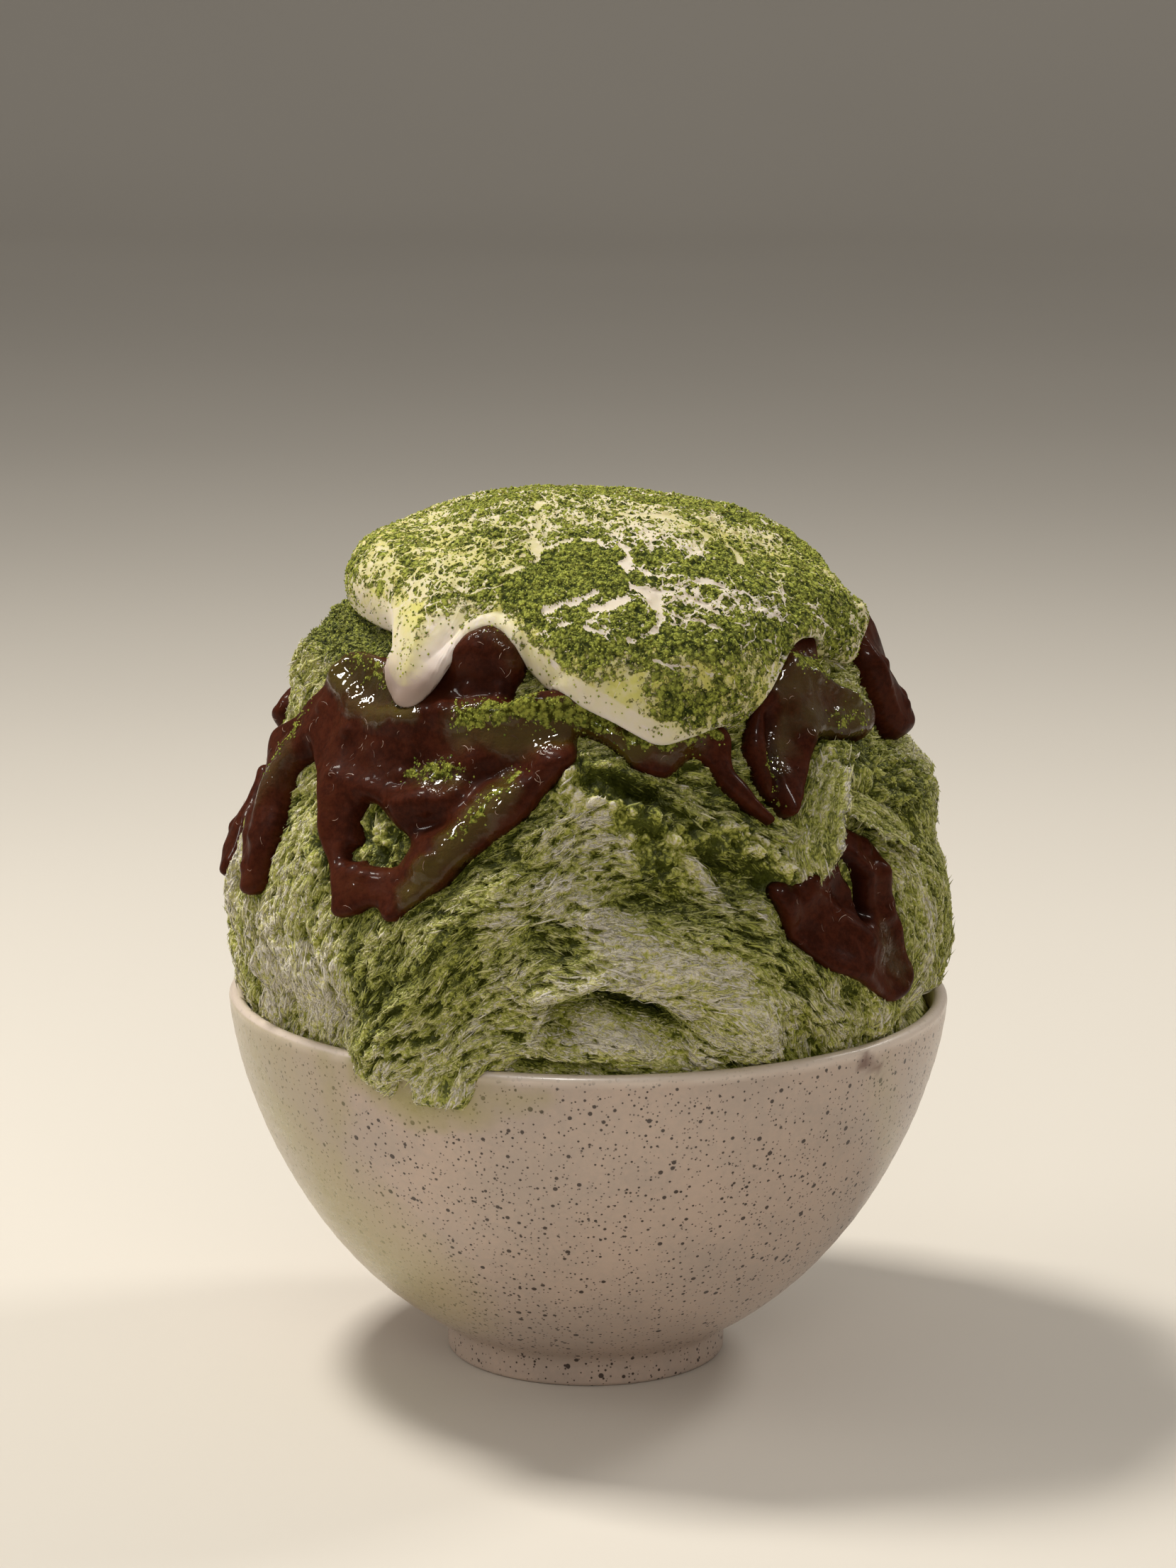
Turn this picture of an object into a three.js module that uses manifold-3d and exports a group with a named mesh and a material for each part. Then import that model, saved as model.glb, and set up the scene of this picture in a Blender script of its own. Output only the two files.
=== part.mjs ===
// A shaved ice dessert in a stoneware bowl: a tall mound of syrup-soaked ice shavings, glossy sweet
// bean paste running down its sides, and a thick blanket of whipped cream over the top.
// Millimetres, +Z up. The origin is on the bowl's axis, in the plane that the foot ring stands on.
// The front of the dessert faces -Y. Azimuths are degrees from the front, positive towards +X.
//
// The food is built on one sphere of directions around a point inside the mound. Every layer is a
// height along those directions: the ice first, then the bean paste, then the cream over both.
// Neighbouring layers share the sphere's triangles, so they follow each other with an even gap.
import * as THREE from "three";
import { mergeVertices } from "three/addons/utils/BufferGeometryUtils.js";
import Module from "manifold-3d";

// Bowl
const RIM_RADIUS = 65;
const RIM_HEIGHT = 68;
const RIM_WALL = 2.6;
const FLOOR_WALL = 4;
const FLOOR_HEIGHT = 8;
const FOOT_RADIUS = 25.3;
const FOOT_HEIGHT = 5;
const FOOT_RING_WIDTH = 3.4;
const FOOT_RECESS = 3;
const FOOT_BEVEL = 0.6;
const BELLY_STEEPNESS = 1.55;
const BELLY_FULLNESS = 2.2;
const BOWL_SEGMENTS = 52;
const OUTER_ROWS = 10;
const INNER_ROWS = 7;

// Food
const GAP = 0.3;
const MOUND_CENTRE = 90;
const SPHERE_DETAIL = 16;
const TOP_DENSITY = 0.18;
const LUMP_HEIGHT = 0.8;
const LUMP_SPACING = 19;
const TUFT_HEIGHT = 0.5;
const TUFT_SPACING = 10;

// The mound's outline from the bowl's floor to its top, as [radius, height]. Below the rim it runs
// inside the thickness of the bowl's wall, where the bowl then cuts the ice to its own inner face.
const MOUND_OUTLINE = [
  [0, 6.5], [22, 8], [36, 14.5], [47.5, 26], [55.5, 40], [60.3, 52], [62.3, 60], [62.1, 65], [62, 68.5],
  [63.7, 71.5], [65.1, 76], [65.4, 82], [64.9, 88], [63.6, 94], [61.5, 99.5], [58.9, 105], [56.2, 111],
  [53.5, 117], [51, 123], [48.2, 129], [44.2, 135], [38.4, 140.3], [30, 144.6], [16, 148.4], [0, 149.6],
];

// Folds of the ice: a path over the mound as [azimuth, height] pairs, how far it reaches to each side
// and how far it stands out of the mound, or sinks into it.
const ICE_FOLDS = [
  { path: [[3, 115], [-9, 107], [-19, 97], [-27, 86], [-30, 76]], reach: 11, height: 3 },
  { path: [[-34, 69], [-27, 66.5], [-19, 66.5]], reach: 9.5, height: 5.6 },
  { path: [[-7, 84], [2, 87.5], [13, 86], [24, 79]], reach: 6, height: 2 },
  { path: [[-3, 76], [5, 79], [14, 76.5]], reach: 6.5, height: -3.6 },
  { path: [[6, 99], [17, 98], [25, 99]], reach: 7.5, height: -2.8 },
  { path: [[-2, 117], [3, 115], [12, 112]], reach: 5.5, height: 1.8 },
  { path: [[20, 92], [26, 84], [25, 76]], reach: 10, height: 2 },
  { path: [[33, 74], [38, 70]], reach: 6, height: -2.6 },
  { path: [[48, 116], [43, 110], [39, 103]], reach: 6, height: 3 },
  { path: [[36, 91], [44, 92], [51, 90], [54, 83]], reach: 10, height: -4.6 },
  { path: [[47, 104], [52, 101]], reach: 5, height: -2.4 },
  { path: [[55, 112], [66, 109], [78, 107], [90, 106]], reach: 11, height: 2.8 },
  { path: [[96, 94], [90, 85], [84, 75]], reach: 13, height: -2.4 },
  { path: [[62, 117], [72, 115]], reach: 6, height: -1.6 },
  { path: [[68, 68.5], [82, 67.5], [96, 68.5]], reach: 6, height: -3.4 },
  { path: [[-98, 133], [-82, 132.5], [-66, 131]], reach: 11, height: 2 },
  { path: [[-49, 112], [-50, 104], [-49, 96]], reach: 6, height: 1.4 },
  { path: [[-64, 88], [-53, 84], [-44, 79]], reach: 10, height: 1.4 },
  { path: [[-70, 75], [-56, 73], [-42, 75]], reach: 6, height: -1.6 },
  { path: [[-97, 104], [-92, 91], [-88, 78]], reach: 14, height: -2.6 },
  { path: [[-88, 128], [-80, 126]], reach: 8, height: 2.2 },
  { path: [[104, 114], [116, 104], [124, 92], [122, 80]], reach: 12, height: 2 },
  { path: [[128, 98], [140, 92], [150, 82]], reach: 8, height: -3.2 },
  { path: [[146, 112], [158, 100], [170, 86], [172, 76]], reach: 11, height: 2 },
  { path: [[-176, 98], [-168, 90], [-158, 88]], reach: 7, height: -2.8 },
  { path: [[-150, 114], [-144, 102], [-136, 90], [-140, 78]], reach: 12, height: 2 },
  { path: [[-118, 100], [-112, 90], [-104, 82]], reach: 7.5, height: -2.8 },
  { path: [[150, 77], [164, 80], [178, 76]], reach: 6, height: -2.4 },
];

const PASTE_EDGE = 3.2;
const PASTE_BLEND = 3;

// Bean paste. A run is a path over the mound as [azimuth, height, half width]. A bare patch is a
// hole through the paste in the same terms. The runs of one piece flow together.
const PASTE_PIECES = {
  bean_paste_left: {
    thickness: 3.2,
    runs: [
      [[-59, 119, 4.6], [-52, 119, 7.6], [-39, 118, 9], [-28, 118, 8.5], [-18, 119, 7], [-10, 123, 5]],
      [[-10, 124, 4.6], [-3, 127, 4], [5, 125, 3.5]],
      [[-57, 124, 4], [-53, 128, 5], [-45, 128, 5]],
      [[-60, 121, 5], [-70, 113, 6.6], [-69, 105, 6.2], [-65, 98, 4.4], [-62.5, 93.5, 2.8]],
      [[-50, 114, 5], [-46, 109, 4.4], [-43.5, 103, 3.4], [-41, 98.5, 3], [-38.5, 95, 2.6]],
      [[-40, 93, 1.8], [-37, 97, 3.4], [-30, 98, 3.6], [-25, 101, 3.6]],
      [[-7, 119, 4], [-13.5, 113.2, 4.6], [-20, 108, 5.2], [-26.5, 101.5, 4.4], [-30, 94.5, 2]],
      [[-33, 112, 5], [-25, 108, 5]],
      [[-26, 126, 8], [-21, 134, 6]],
      [[5, 125, 3.4], [9.5, 119.8, 3.2], [13, 119.5, 3.2], [18, 122, 3.2], [23.5, 121.5, 2.9]],
      [[23.5, 121, 2.4], [24.5, 116, 1.6], [28, 111.5, 1.3], [30.6, 108.6, 1.1]],
    ],
    bare: [
      [[-40.6, 101.6, 1.2], [-37.6, 102.6, 1.5]],
      [[-57, 108.5, 0.5], [-53.5, 104.5, 1.6], [-49, 100, 2.2], [-45, 94, 2.6]],
    ],
  },
  bean_paste_right: {
    thickness: 3.6,
    runs: [
      [[51, 134.5, 4], [45, 127, 6.8], [39, 120.5, 5.2], [36, 114.5, 3.2], [34.5, 109.5, 1.6]],
      [[37, 125, 4], [33, 120, 3.6], [33.5, 114, 2.4]],
      [[46, 126, 4.4], [54, 123, 4.8], [60.5, 121, 3.4]],
    ],
    bare: [],
  },
  bean_paste_far_right: {
    thickness: 4.6,
    runs: [[[78, 133, 4.4], [80, 127.5, 7.8], [81, 121, 6.8]]],
    bare: [],
  },
  bean_paste_low_right: {
    thickness: 2.8,
    runs: [
      [[31, 97, 2.2], [36, 91.5, 4.2], [41, 87.5, 5.2], [47, 84.5, 5], [53, 79, 4]],
      [[46, 104, 3], [50, 100, 4.6], [51, 93, 5.4], [53, 86, 5.4], [55, 80, 4.2]],
      [[37, 97.5, 2.6], [43, 96, 4.6], [46, 90, 5]],
    ],
    bare: [],
  },
  bean_paste_far_left: {
    thickness: 2.2,
    runs: [[[-88, 106, 2.4], [-82, 99, 3.4], [-78, 93, 2.6]]],
    bare: [],
  },
  bean_paste_back_left: {
    thickness: 3,
    runs: [
      [[-98, 116, 4], [-108, 120, 7.5], [-122, 122, 9], [-138, 122, 7]],
      [[-118, 116, 6], [-122, 105, 4], [-121, 97, 3]],
    ],
    bare: [],
  },
  bean_paste_back_right: {
    thickness: 3.2,
    runs: [
      [[124, 126, 5], [138, 121, 8.5], [156, 120, 8], [172, 125, 5]],
      [[142, 117, 6], [146, 106, 4], [144, 97, 3]],
      [[160, 117, 5], [166, 108, 3.2], [165, 102, 2.6]],
    ],
    bare: [],
  },
};

// Cream: a blanket over the top. Its hem hangs to a height that changes round the mound, given as
// [azimuth, height]. Its outer face has swells in the same terms as the folds of the ice. It thickens
// over its rounded edge and then over its shoulder, and is never thinner than the least thickness there.
const CREAM_THICKNESS = 7.4;
const CREAM_HEM_THICKNESS = 2.2;
const CREAM_SHOULDER = 12;
const CREAM_LEAST = 1.8;
const CREAM_EDGE = 3;
const CREAM_BLEND = 4;
const CREAM_HEM = [
  [-180, 137], [-160, 137.5], [-146, 133], [-136, 129], [-126, 132], [-115, 136.5], [-98, 139], [-84, 138.5],
  [-74, 137.2], [-64, 136.6], [-55, 136.2], [-48, 135.2], [-44, 131.6], [-41.2, 127], [-37.8, 124.6],
  [-33.6, 124.6], [-30.6, 127.2], [-28.4, 131.4], [-25.4, 135], [-20, 136.4], [-15, 134], [-9, 130.2],
  [-3, 126.8], [3, 124.2], [8, 121.8], [12, 120.6], [17, 121.2], [23, 122.6], [30, 124], [36, 127.6],
  [41, 131], [46, 133.4], [51, 133.6], [56, 132.4], [61, 131], [66, 129.6], [71, 130.4], [76, 133],
  [83, 136.4], [92, 138], [108, 136], [124, 131], [138, 135], [154, 137.5], [168, 138.5],
];
const CREAM_SWELLS = [
  { path: [[-66, 140], [-88, 140]], reach: 14, height: 2.6 },
  { path: [[-35, 128], [-38, 134]], reach: 9, height: 0.4 },
  { path: [[2, 130], [12, 127], [24, 129]], reach: 14, height: 1.8 },
  { path: [[-60, 147.5], [-110, 147.5]], reach: 20, height: 1 },
  { path: [[60, 141], [84, 139], [104, 139]], reach: 20, height: -1.6 },
  { path: [[62, 140], [74, 138]], reach: 9, height: 1.4 },
];

const BOWL_COLOUR = 0xa98f7c;
const ICE_COLOUR = 0x8d8c4c;
const PASTE_COLOUR = 0x47271a;
const CREAM_COLOUR = 0x9aa04e;

// ---- Bowl ----------------------------------------------------------------------------------

function bowlOuterRadius(height) {
  const drop = (RIM_HEIGHT - height) / RIM_HEIGHT;
  return RIM_RADIUS * (1 - drop ** BELLY_STEEPNESS) ** (1 / BELLY_FULLNESS);
}

// The bowl turned round its axis. With grow it is that much bigger on every side, to cut what it holds.
function bowlGeometry(grow = 0) {
  const insideFoot = FOOT_RADIUS - FOOT_RING_WIDTH;
  const outline = [
    [0, FOOT_RECESS - grow],
    [insideFoot - grow, FOOT_RECESS - grow],
    [insideFoot - grow, -grow],
    [FOOT_RADIUS - FOOT_BEVEL + grow, -grow],
    [FOOT_RADIUS + grow, FOOT_HEIGHT - grow],
  ];
  const shoulder = RIM_HEIGHT - RIM_WALL / 2;
  for (let row = 0; row < OUTER_ROWS; row++) {
    const height = THREE.MathUtils.lerp(FOOT_HEIGHT + 1, shoulder, (row / (OUTER_ROWS - 1)) ** 1.15);
    outline.push([bowlOuterRadius(height) + grow, height]);
  }
  outline.push([RIM_RADIUS - RIM_WALL / 2, RIM_HEIGHT + grow]);
  for (let row = 0; row < INNER_ROWS; row++) {
    const height = THREE.MathUtils.lerp(shoulder, FLOOR_HEIGHT + 2, (row / (INNER_ROWS - 1)) ** 0.9);
    const wall = THREE.MathUtils.mapLinear(height, FLOOR_HEIGHT, RIM_HEIGHT, FLOOR_WALL, RIM_WALL);
    outline.push([bowlOuterRadius(height) - wall - grow, height]);
  }
  outline.push([0, FLOOR_HEIGHT + grow]);
  const profile = outline.map(([radius, height]) => new THREE.Vector2(radius, height));
  return new THREE.LatheGeometry(profile, BOWL_SEGMENTS).rotateX(Math.PI / 2);
}

// ---- Sphere of directions and the mound's smooth form --------------------------------------

function withPositionOnly(geometry) {
  geometry.deleteAttribute("normal");
  geometry.deleteAttribute("uv");
  return mergeVertices(geometry, 1e-4);
}

const UP = new THREE.Vector3(0, 0, 1);

// Evenly spread directions, then drawn a little towards the top, where the fine shapes are.
const sphere = withPositionOnly(new THREE.IcosahedronGeometry(1, SPHERE_DETAIL));
const triangles = sphere.index.array;
const directions = Array.from({ length: sphere.attributes.position.count }, (_, i) => {
  const even = new THREE.Vector3().fromBufferAttribute(sphere.attributes.position, i);
  return even.addScaledVector(UP, TOP_DENSITY).normalize();
});

// The outline again, as distance from the mound's centre against the angle from straight up.
const outlineByAngle = MOUND_OUTLINE.map(([radius, height]) => ({
  angle: Math.atan2(radius, height - MOUND_CENTRE),
  distance: Math.hypot(radius, height - MOUND_CENTRE),
})).reverse();

// A smooth curve through samples that are in rising order of their key.
function smoothThrough(samples, key, value, at) {
  let next = samples.findIndex((s) => s[key] > at);
  if (next < 0) next = samples.length - 1;
  next = Math.max(next, 1);
  const sample = (i) => samples[THREE.MathUtils.clamp(i, 0, samples.length - 1)];
  const [p0, p1, p2, p3] = [-2, -1, 0, 1].map((k) => sample(next + k));
  const t = THREE.MathUtils.clamp((at - p1[key]) / (p2[key] - p1[key]), 0, 1);
  const step = p2[key] - p1[key];
  const slopeIn = p2 === p0 ? 0 : ((p2[value] - p0[value]) / (p2[key] - p0[key])) * step;
  const slopeOut = p3 === p1 ? 0 : ((p3[value] - p1[value]) / (p3[key] - p1[key])) * step;
  return (
    p1[value] * (1 + 2 * t) * (1 - t) ** 2 + slopeIn * t * (1 - t) ** 2 +
    p2[value] * t * t * (3 - 2 * t) + slopeOut * t * t * (t - 1)
  );
}

function moundDistance(direction) {
  return smoothThrough(outlineByAngle, "angle", "distance", direction.angleTo(UP));
}

const outlineByHeight = MOUND_OUTLINE.map(([radius, height]) => ({ radius, height }));

// A point of the smooth mound by azimuth and height, relative to the mound's centre.
function moundPoint(azimuth, height) {
  const radius = smoothThrough(outlineByHeight, "height", "radius", height);
  const turn = THREE.MathUtils.degToRad(azimuth);
  return new THREE.Vector3(radius * Math.sin(turn), -radius * Math.cos(turn), height - MOUND_CENTRE);
}

const moundPoints = directions.map((direction) => direction.clone().multiplyScalar(moundDistance(direction)));

// ---- Paths over the mound ------------------------------------------------------------------

// Distance from a point to a path, less the path's own half width there.
function distanceToRun(point, run) {
  let nearest = Infinity;
  for (let i = 0; i + 1 < run.length; i++) {
    const along = run[i + 1].at.clone().sub(run[i].at);
    const offset = point.clone().sub(run[i].at);
    const t = THREE.MathUtils.clamp(offset.dot(along) / along.lengthSq(), 0, 1);
    const away = offset.addScaledVector(along, -t).length();
    nearest = Math.min(nearest, away - THREE.MathUtils.lerp(run[i].half, run[i + 1].half, t));
  }
  return nearest;
}

function placeRun(run) {
  return run.map(([azimuth, height, half = 0]) => ({ at: moundPoint(azimuth, height), half }));
}

// The smaller of two distances, rounded off where they are nearly equal, so that two shapes flow together.
function blendedMin(a, b, softness) {
  const share = Math.max(softness - Math.abs(a - b), 0) / softness;
  return Math.min(a, b) - (share * share * softness) / 4;
}

// Irregular but repeatable swelling, between about -1 and 1: three waves that cross at odd angles.
function swelling(point, spacing, phase) {
  const k = (2 * Math.PI) / spacing;
  const { x, y, z } = point;
  return (
    (Math.sin(k * (0.8 * x + 0.5 * y + 0.33 * z) + phase) +
      Math.sin(k * (-0.45 * x + 0.75 * y + 0.49 * z) + 2.1 * phase) +
      Math.sin(k * (0.3 * x - 0.6 * y + 0.74 * z) + 3.7 * phase)) / 3
  );
}

// ---- Layers, each a distance from the mound's centre for every direction -----------------------

function placeFolds(folds) {
  return folds.map(({ path, reach, height }) => ({ run: placeRun(path), reach, height }));
}

// What a set of folds adds to a layer at a point: each is highest on its path and fades to its reach.
function foldsAt(point, folds) {
  return folds.reduce((sum, { run, reach, height }) => {
    const away = Math.min(distanceToRun(point, run) / reach, 1);
    return sum + height * (1 - away * away) ** 2;
  }, 0);
}

const iceFolds = placeFolds(ICE_FOLDS);

function iceHeightAt(point) {
  const aboveRim = THREE.MathUtils.smoothstep(point.z + MOUND_CENTRE, RIM_HEIGHT + 1, RIM_HEIGHT + 9);
  const lumps = LUMP_HEIGHT * swelling(point, LUMP_SPACING, 1);
  const tufts = TUFT_HEIGHT * swelling(point, TUFT_SPACING, 2);
  return aboveRim * (lumps + tufts) + foldsAt(point, iceFolds);
}

const iceLayer = moundPoints.map((point) => point.length() + iceHeightAt(point));

const wavering = (point) => 0.5 * swelling(point, 11, 3);
const unevenness = (point) => 1 + 0.18 * swelling(point, 13, 4);

function pasteOutline(piece) {
  const runs = piece.runs.map(placeRun);
  const bare = piece.bare.map(placeRun);
  return moundPoints.map((point) => {
    const covered = runs
      .map((run) => distanceToRun(point, run))
      .reduce((a, b) => blendedMin(a, b, PASTE_BLEND));
    const uncovered = bare.map((run) => -distanceToRun(point, run));
    return Math.max(covered + wavering(point), ...uncovered);
  });
}

// Thickness at a distance inside the edge: a round edge that levels off at the full thickness.
function domed(outline, thickness, edge) {
  const share = THREE.MathUtils.clamp(-outline / edge, 0, 1);
  return thickness * Math.sqrt(share * (2 - share));
}

const pasteLayers = Object.entries(PASTE_PIECES).map(([name, piece]) => {
  const outline = pasteOutline(piece);
  const thickness = outline.map(
    (away, i) => domed(away, piece.thickness, PASTE_EDGE) * unevenness(moundPoints[i]),
  );
  return { name, outline, thickness };
});

const underCream = iceLayer.map((ice, i) => ice + GAP + Math.max(...pasteLayers.map((p) => p.thickness[i])));

// The hem's height for any azimuth, and the hem as points of the mound a degree apart.
const hemSamples = [-360, 0, 360].flatMap((turn) =>
  CREAM_HEM.map(([azimuth, height]) => ({ azimuth: azimuth + turn, height })),
);
const hemHeight = (azimuth) => smoothThrough(hemSamples, "azimuth", "height", azimuth);
const hemPoints = Array.from({ length: 360 }, (_, k) => moundPoint(k - 180, hemHeight(k - 180)));

const creamOutline = moundPoints.map((point) => {
  const azimuth = THREE.MathUtils.radToDeg(Math.atan2(point.x, -point.y));
  const away = Math.min(...hemPoints.map((hem) => hem.distanceTo(point)));
  return point.z + MOUND_CENTRE < hemHeight(azimuth) ? away : -away;
});

// The cream's outer face is a smooth blanket: it follows the smooth mound, not the paste below it.
const creamSwells = placeFolds(CREAM_SWELLS);
const creamTop = moundPoints.map((point, i) => {
  const away = creamOutline[i];
  const shoulder = CREAM_THICKNESS + foldsAt(point, creamSwells) - CREAM_HEM_THICKNESS;
  const cover = domed(away, CREAM_HEM_THICKNESS, CREAM_EDGE) + domed(away, shoulder, CREAM_SHOULDER);
  const blanket = point.length() + cover + 0.5 * swelling(point, 34, 5);
  const least = underCream[i] + GAP + domed(away, CREAM_LEAST, CREAM_EDGE);
  return -blendedMin(-blanket, -least, CREAM_BLEND) - underCream[i] - GAP;
});

// ---- Solids --------------------------------------------------------------------------------

const onDirection = (i, distance) => directions[i].clone().multiplyScalar(distance);

function meshGeometry(points, faces) {
  const geometry = new THREE.BufferGeometry().setFromPoints(points);
  geometry.setIndex(faces.flat());
  return geometry;
}

// A layer that covers the part of the sphere where its outline is below zero. Its underside is at the
// distance base, its outer face at base + thickness, and the two meet along the outline. The outline
// keeps a tenth of an edge away from the sphere's own vertices, so that no triangle is a sliver.
function patchGeometry(outline, base, thickness) {
  const points = [];
  const faces = [];
  const known = new Map();
  const vertex = (key, make) => {
    if (!known.has(key)) {
      known.set(key, points.length);
      points.push(make());
    }
    return known.get(key);
  };
  const outer = (i) => vertex(`outer${i}`, () => onDirection(i, base[i] + thickness[i]));
  const inner = (i) => vertex(`inner${i}`, () => onDirection(i, base[i]));
  const edge = (i, j) => {
    const [a, b] = i < j ? [i, j] : [j, i];
    const t = THREE.MathUtils.clamp(outline[a] / (outline[a] - outline[b]), 0.1, 0.9);
    return vertex(`edge${a}_${b}`, () => onDirection(a, base[a]).lerp(onDirection(b, base[b]), t));
  };
  const addFan = (corners) => {
    for (const [side, turned] of [[outer, false], [inner, true]]) {
      const ids = corners.map((c) => (Array.isArray(c) ? edge(...c) : side(c)));
      for (let k = 1; k + 1 < ids.length; k++) {
        faces.push(turned ? [ids[0], ids[k + 1], ids[k]] : [ids[0], ids[k], ids[k + 1]]);
      }
    }
  };
  for (let f = 0; f < triangles.length; f += 3) {
    const corners = [];
    for (let k = 0; k < 3; k++) {
      const [i, j] = [triangles[f + k], triangles[f + ((k + 1) % 3)]];
      if (outline[i] < 0) corners.push(i);
      if (outline[i] < 0 !== outline[j] < 0) corners.push([i, j]);
    }
    if (corners.length) addFan(corners);
  }
  return meshGeometry(points, faces);
}

const wasm = await Module();
wasm.setup();

function toSolid(geometry) {
  const merged = withPositionOnly(geometry);
  return new wasm.Manifold(
    new wasm.Mesh({
      numProp: 3,
      vertProperties: merged.attributes.position.array,
      triVerts: new Uint32Array(merged.index.array),
    }),
  );
}

function toGeometry(solid) {
  const mesh = solid.getMesh();
  const geometry = new THREE.BufferGeometry();
  geometry.setAttribute("position", new THREE.BufferAttribute(mesh.vertProperties, 3));
  geometry.setIndex(new THREE.BufferAttribute(mesh.triVerts, 1));
  return geometry;
}

// The ice fills the bowl, and goes over its rim only where a fold spills out.
function iceGeometry() {
  const whole = meshGeometry(directions.map((_, i) => onDirection(i, iceLayer[i])), [Array.from(triangles)]);
  const cutter = bowlGeometry(GAP).translate(0, 0, -MOUND_CENTRE);
  const pieces = toSolid(whole).subtract(toSolid(cutter)).decompose();
  return toGeometry(pieces.reduce((a, b) => (a.volume() > b.volume() ? a : b)));
}

// ---- Assembly ------------------------------------------------------------------------------

function part(name, geometry, color, roughness) {
  const mesh = new THREE.Mesh(geometry, new THREE.MeshStandardMaterial({ color, roughness, metalness: 0 }));
  mesh.name = name;
  return mesh;
}

const food = new THREE.Group();
food.position.z = MOUND_CENTRE;
food.add(part("shaved_ice", iceGeometry(), ICE_COLOUR, 0.8));
for (const { name, outline, thickness } of pasteLayers) {
  const base = iceLayer.map((ice) => ice + GAP);
  food.add(part(name, patchGeometry(outline, base, thickness), PASTE_COLOUR, 0.25));
}
const creamBase = underCream.map((distance) => distance + GAP);
food.add(part("cream_blanket", patchGeometry(creamOutline, creamBase, creamTop), CREAM_COLOUR, 0.6));

const dessert = new THREE.Group();
dessert.add(part("bowl", bowlGeometry(), BOWL_COLOUR, 0.5), food);

export default dessert;
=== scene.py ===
"""A shaved ice dessert in a stoneware bowl: soaked ice shavings, sweet bean paste and powdered cream.

The food is built on one set of directions around a point inside the mound, as its solids are: the ice
first, then the bean paste on it, then the cream over both. Shapes are worked out in millimetres and
written to the meshes in metres. Azimuths are degrees from the front (-Y), positive towards +X.
"""
import itertools
import math
from functools import lru_cache

import bpy
import numpy as np
from mathutils import Matrix, Vector


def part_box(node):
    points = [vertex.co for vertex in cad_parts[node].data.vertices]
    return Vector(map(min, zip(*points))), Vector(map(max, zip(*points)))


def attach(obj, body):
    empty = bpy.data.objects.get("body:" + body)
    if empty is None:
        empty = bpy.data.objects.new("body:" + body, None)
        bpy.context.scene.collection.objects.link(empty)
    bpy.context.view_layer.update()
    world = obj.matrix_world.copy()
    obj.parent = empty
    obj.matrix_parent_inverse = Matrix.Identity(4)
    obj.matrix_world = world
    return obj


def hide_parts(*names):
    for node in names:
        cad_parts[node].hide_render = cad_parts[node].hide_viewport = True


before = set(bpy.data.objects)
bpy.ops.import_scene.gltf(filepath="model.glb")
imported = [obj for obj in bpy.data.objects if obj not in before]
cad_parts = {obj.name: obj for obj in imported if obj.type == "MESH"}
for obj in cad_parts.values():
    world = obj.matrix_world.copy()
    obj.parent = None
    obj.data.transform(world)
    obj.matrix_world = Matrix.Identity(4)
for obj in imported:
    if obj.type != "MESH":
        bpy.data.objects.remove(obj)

bl_info = {
    "name": "Shaved Ice Dessert",
    "version": (1, 0, 0),
    "blender": (4, 5, 0),
    "location": "3D View > Sidebar > Dessert",
    "description": "Builds a shaved ice dessert with bean paste and powdered cream in a stoneware bowl",
    "category": "Add Mesh",
}

MM = 0.001
_, BOWL_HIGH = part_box("bowl")
RIM_RADIUS = BOWL_HIGH[0] / MM
RIM_HEIGHT = BOWL_HIGH[2] / MM
UP = np.array([0.0, 0.0, 1.0])

# ---- Form of the bowl, in millimetres -----------------------------------------------------------

RIM_WALL = 2.6
FLOOR_WALL = 4.0
FLOOR_HEIGHT = 8.0
FOOT_RADIUS = 25.3
FOOT_HEIGHT = 5.0
FOOT_RING_WIDTH = 3.4
FOOT_RECESS = 3.0
BELLY_STEEPNESS = 1.55
BELLY_FULLNESS = 2.2

# ---- Form of the food ---------------------------------------------------------------------------

MOUND_CENTRE = 90.0
LUMP_HEIGHT = 0.8
LUMP_SPACING = 19.0
TUFT_HEIGHT = 0.5
TUFT_SPACING = 10.0

# The mound's outline from the bowl's floor to its top, as (radius, height).
MOUND_OUTLINE = np.array([
    (0, 6.5), (22, 8), (36, 14.5), (47.5, 26), (55.5, 40), (60.3, 52), (62.3, 60), (62.1, 65), (62, 68.5),
    (63.7, 71.5), (65.1, 76), (65.4, 82), (64.9, 88), (63.6, 94), (61.5, 99.5), (58.9, 105), (56.2, 111),
    (53.5, 117), (51, 123), (48.2, 129), (44.2, 135), (38.4, 140.3), (30, 144.6), (16, 148.4), (0, 149.6),
])

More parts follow.
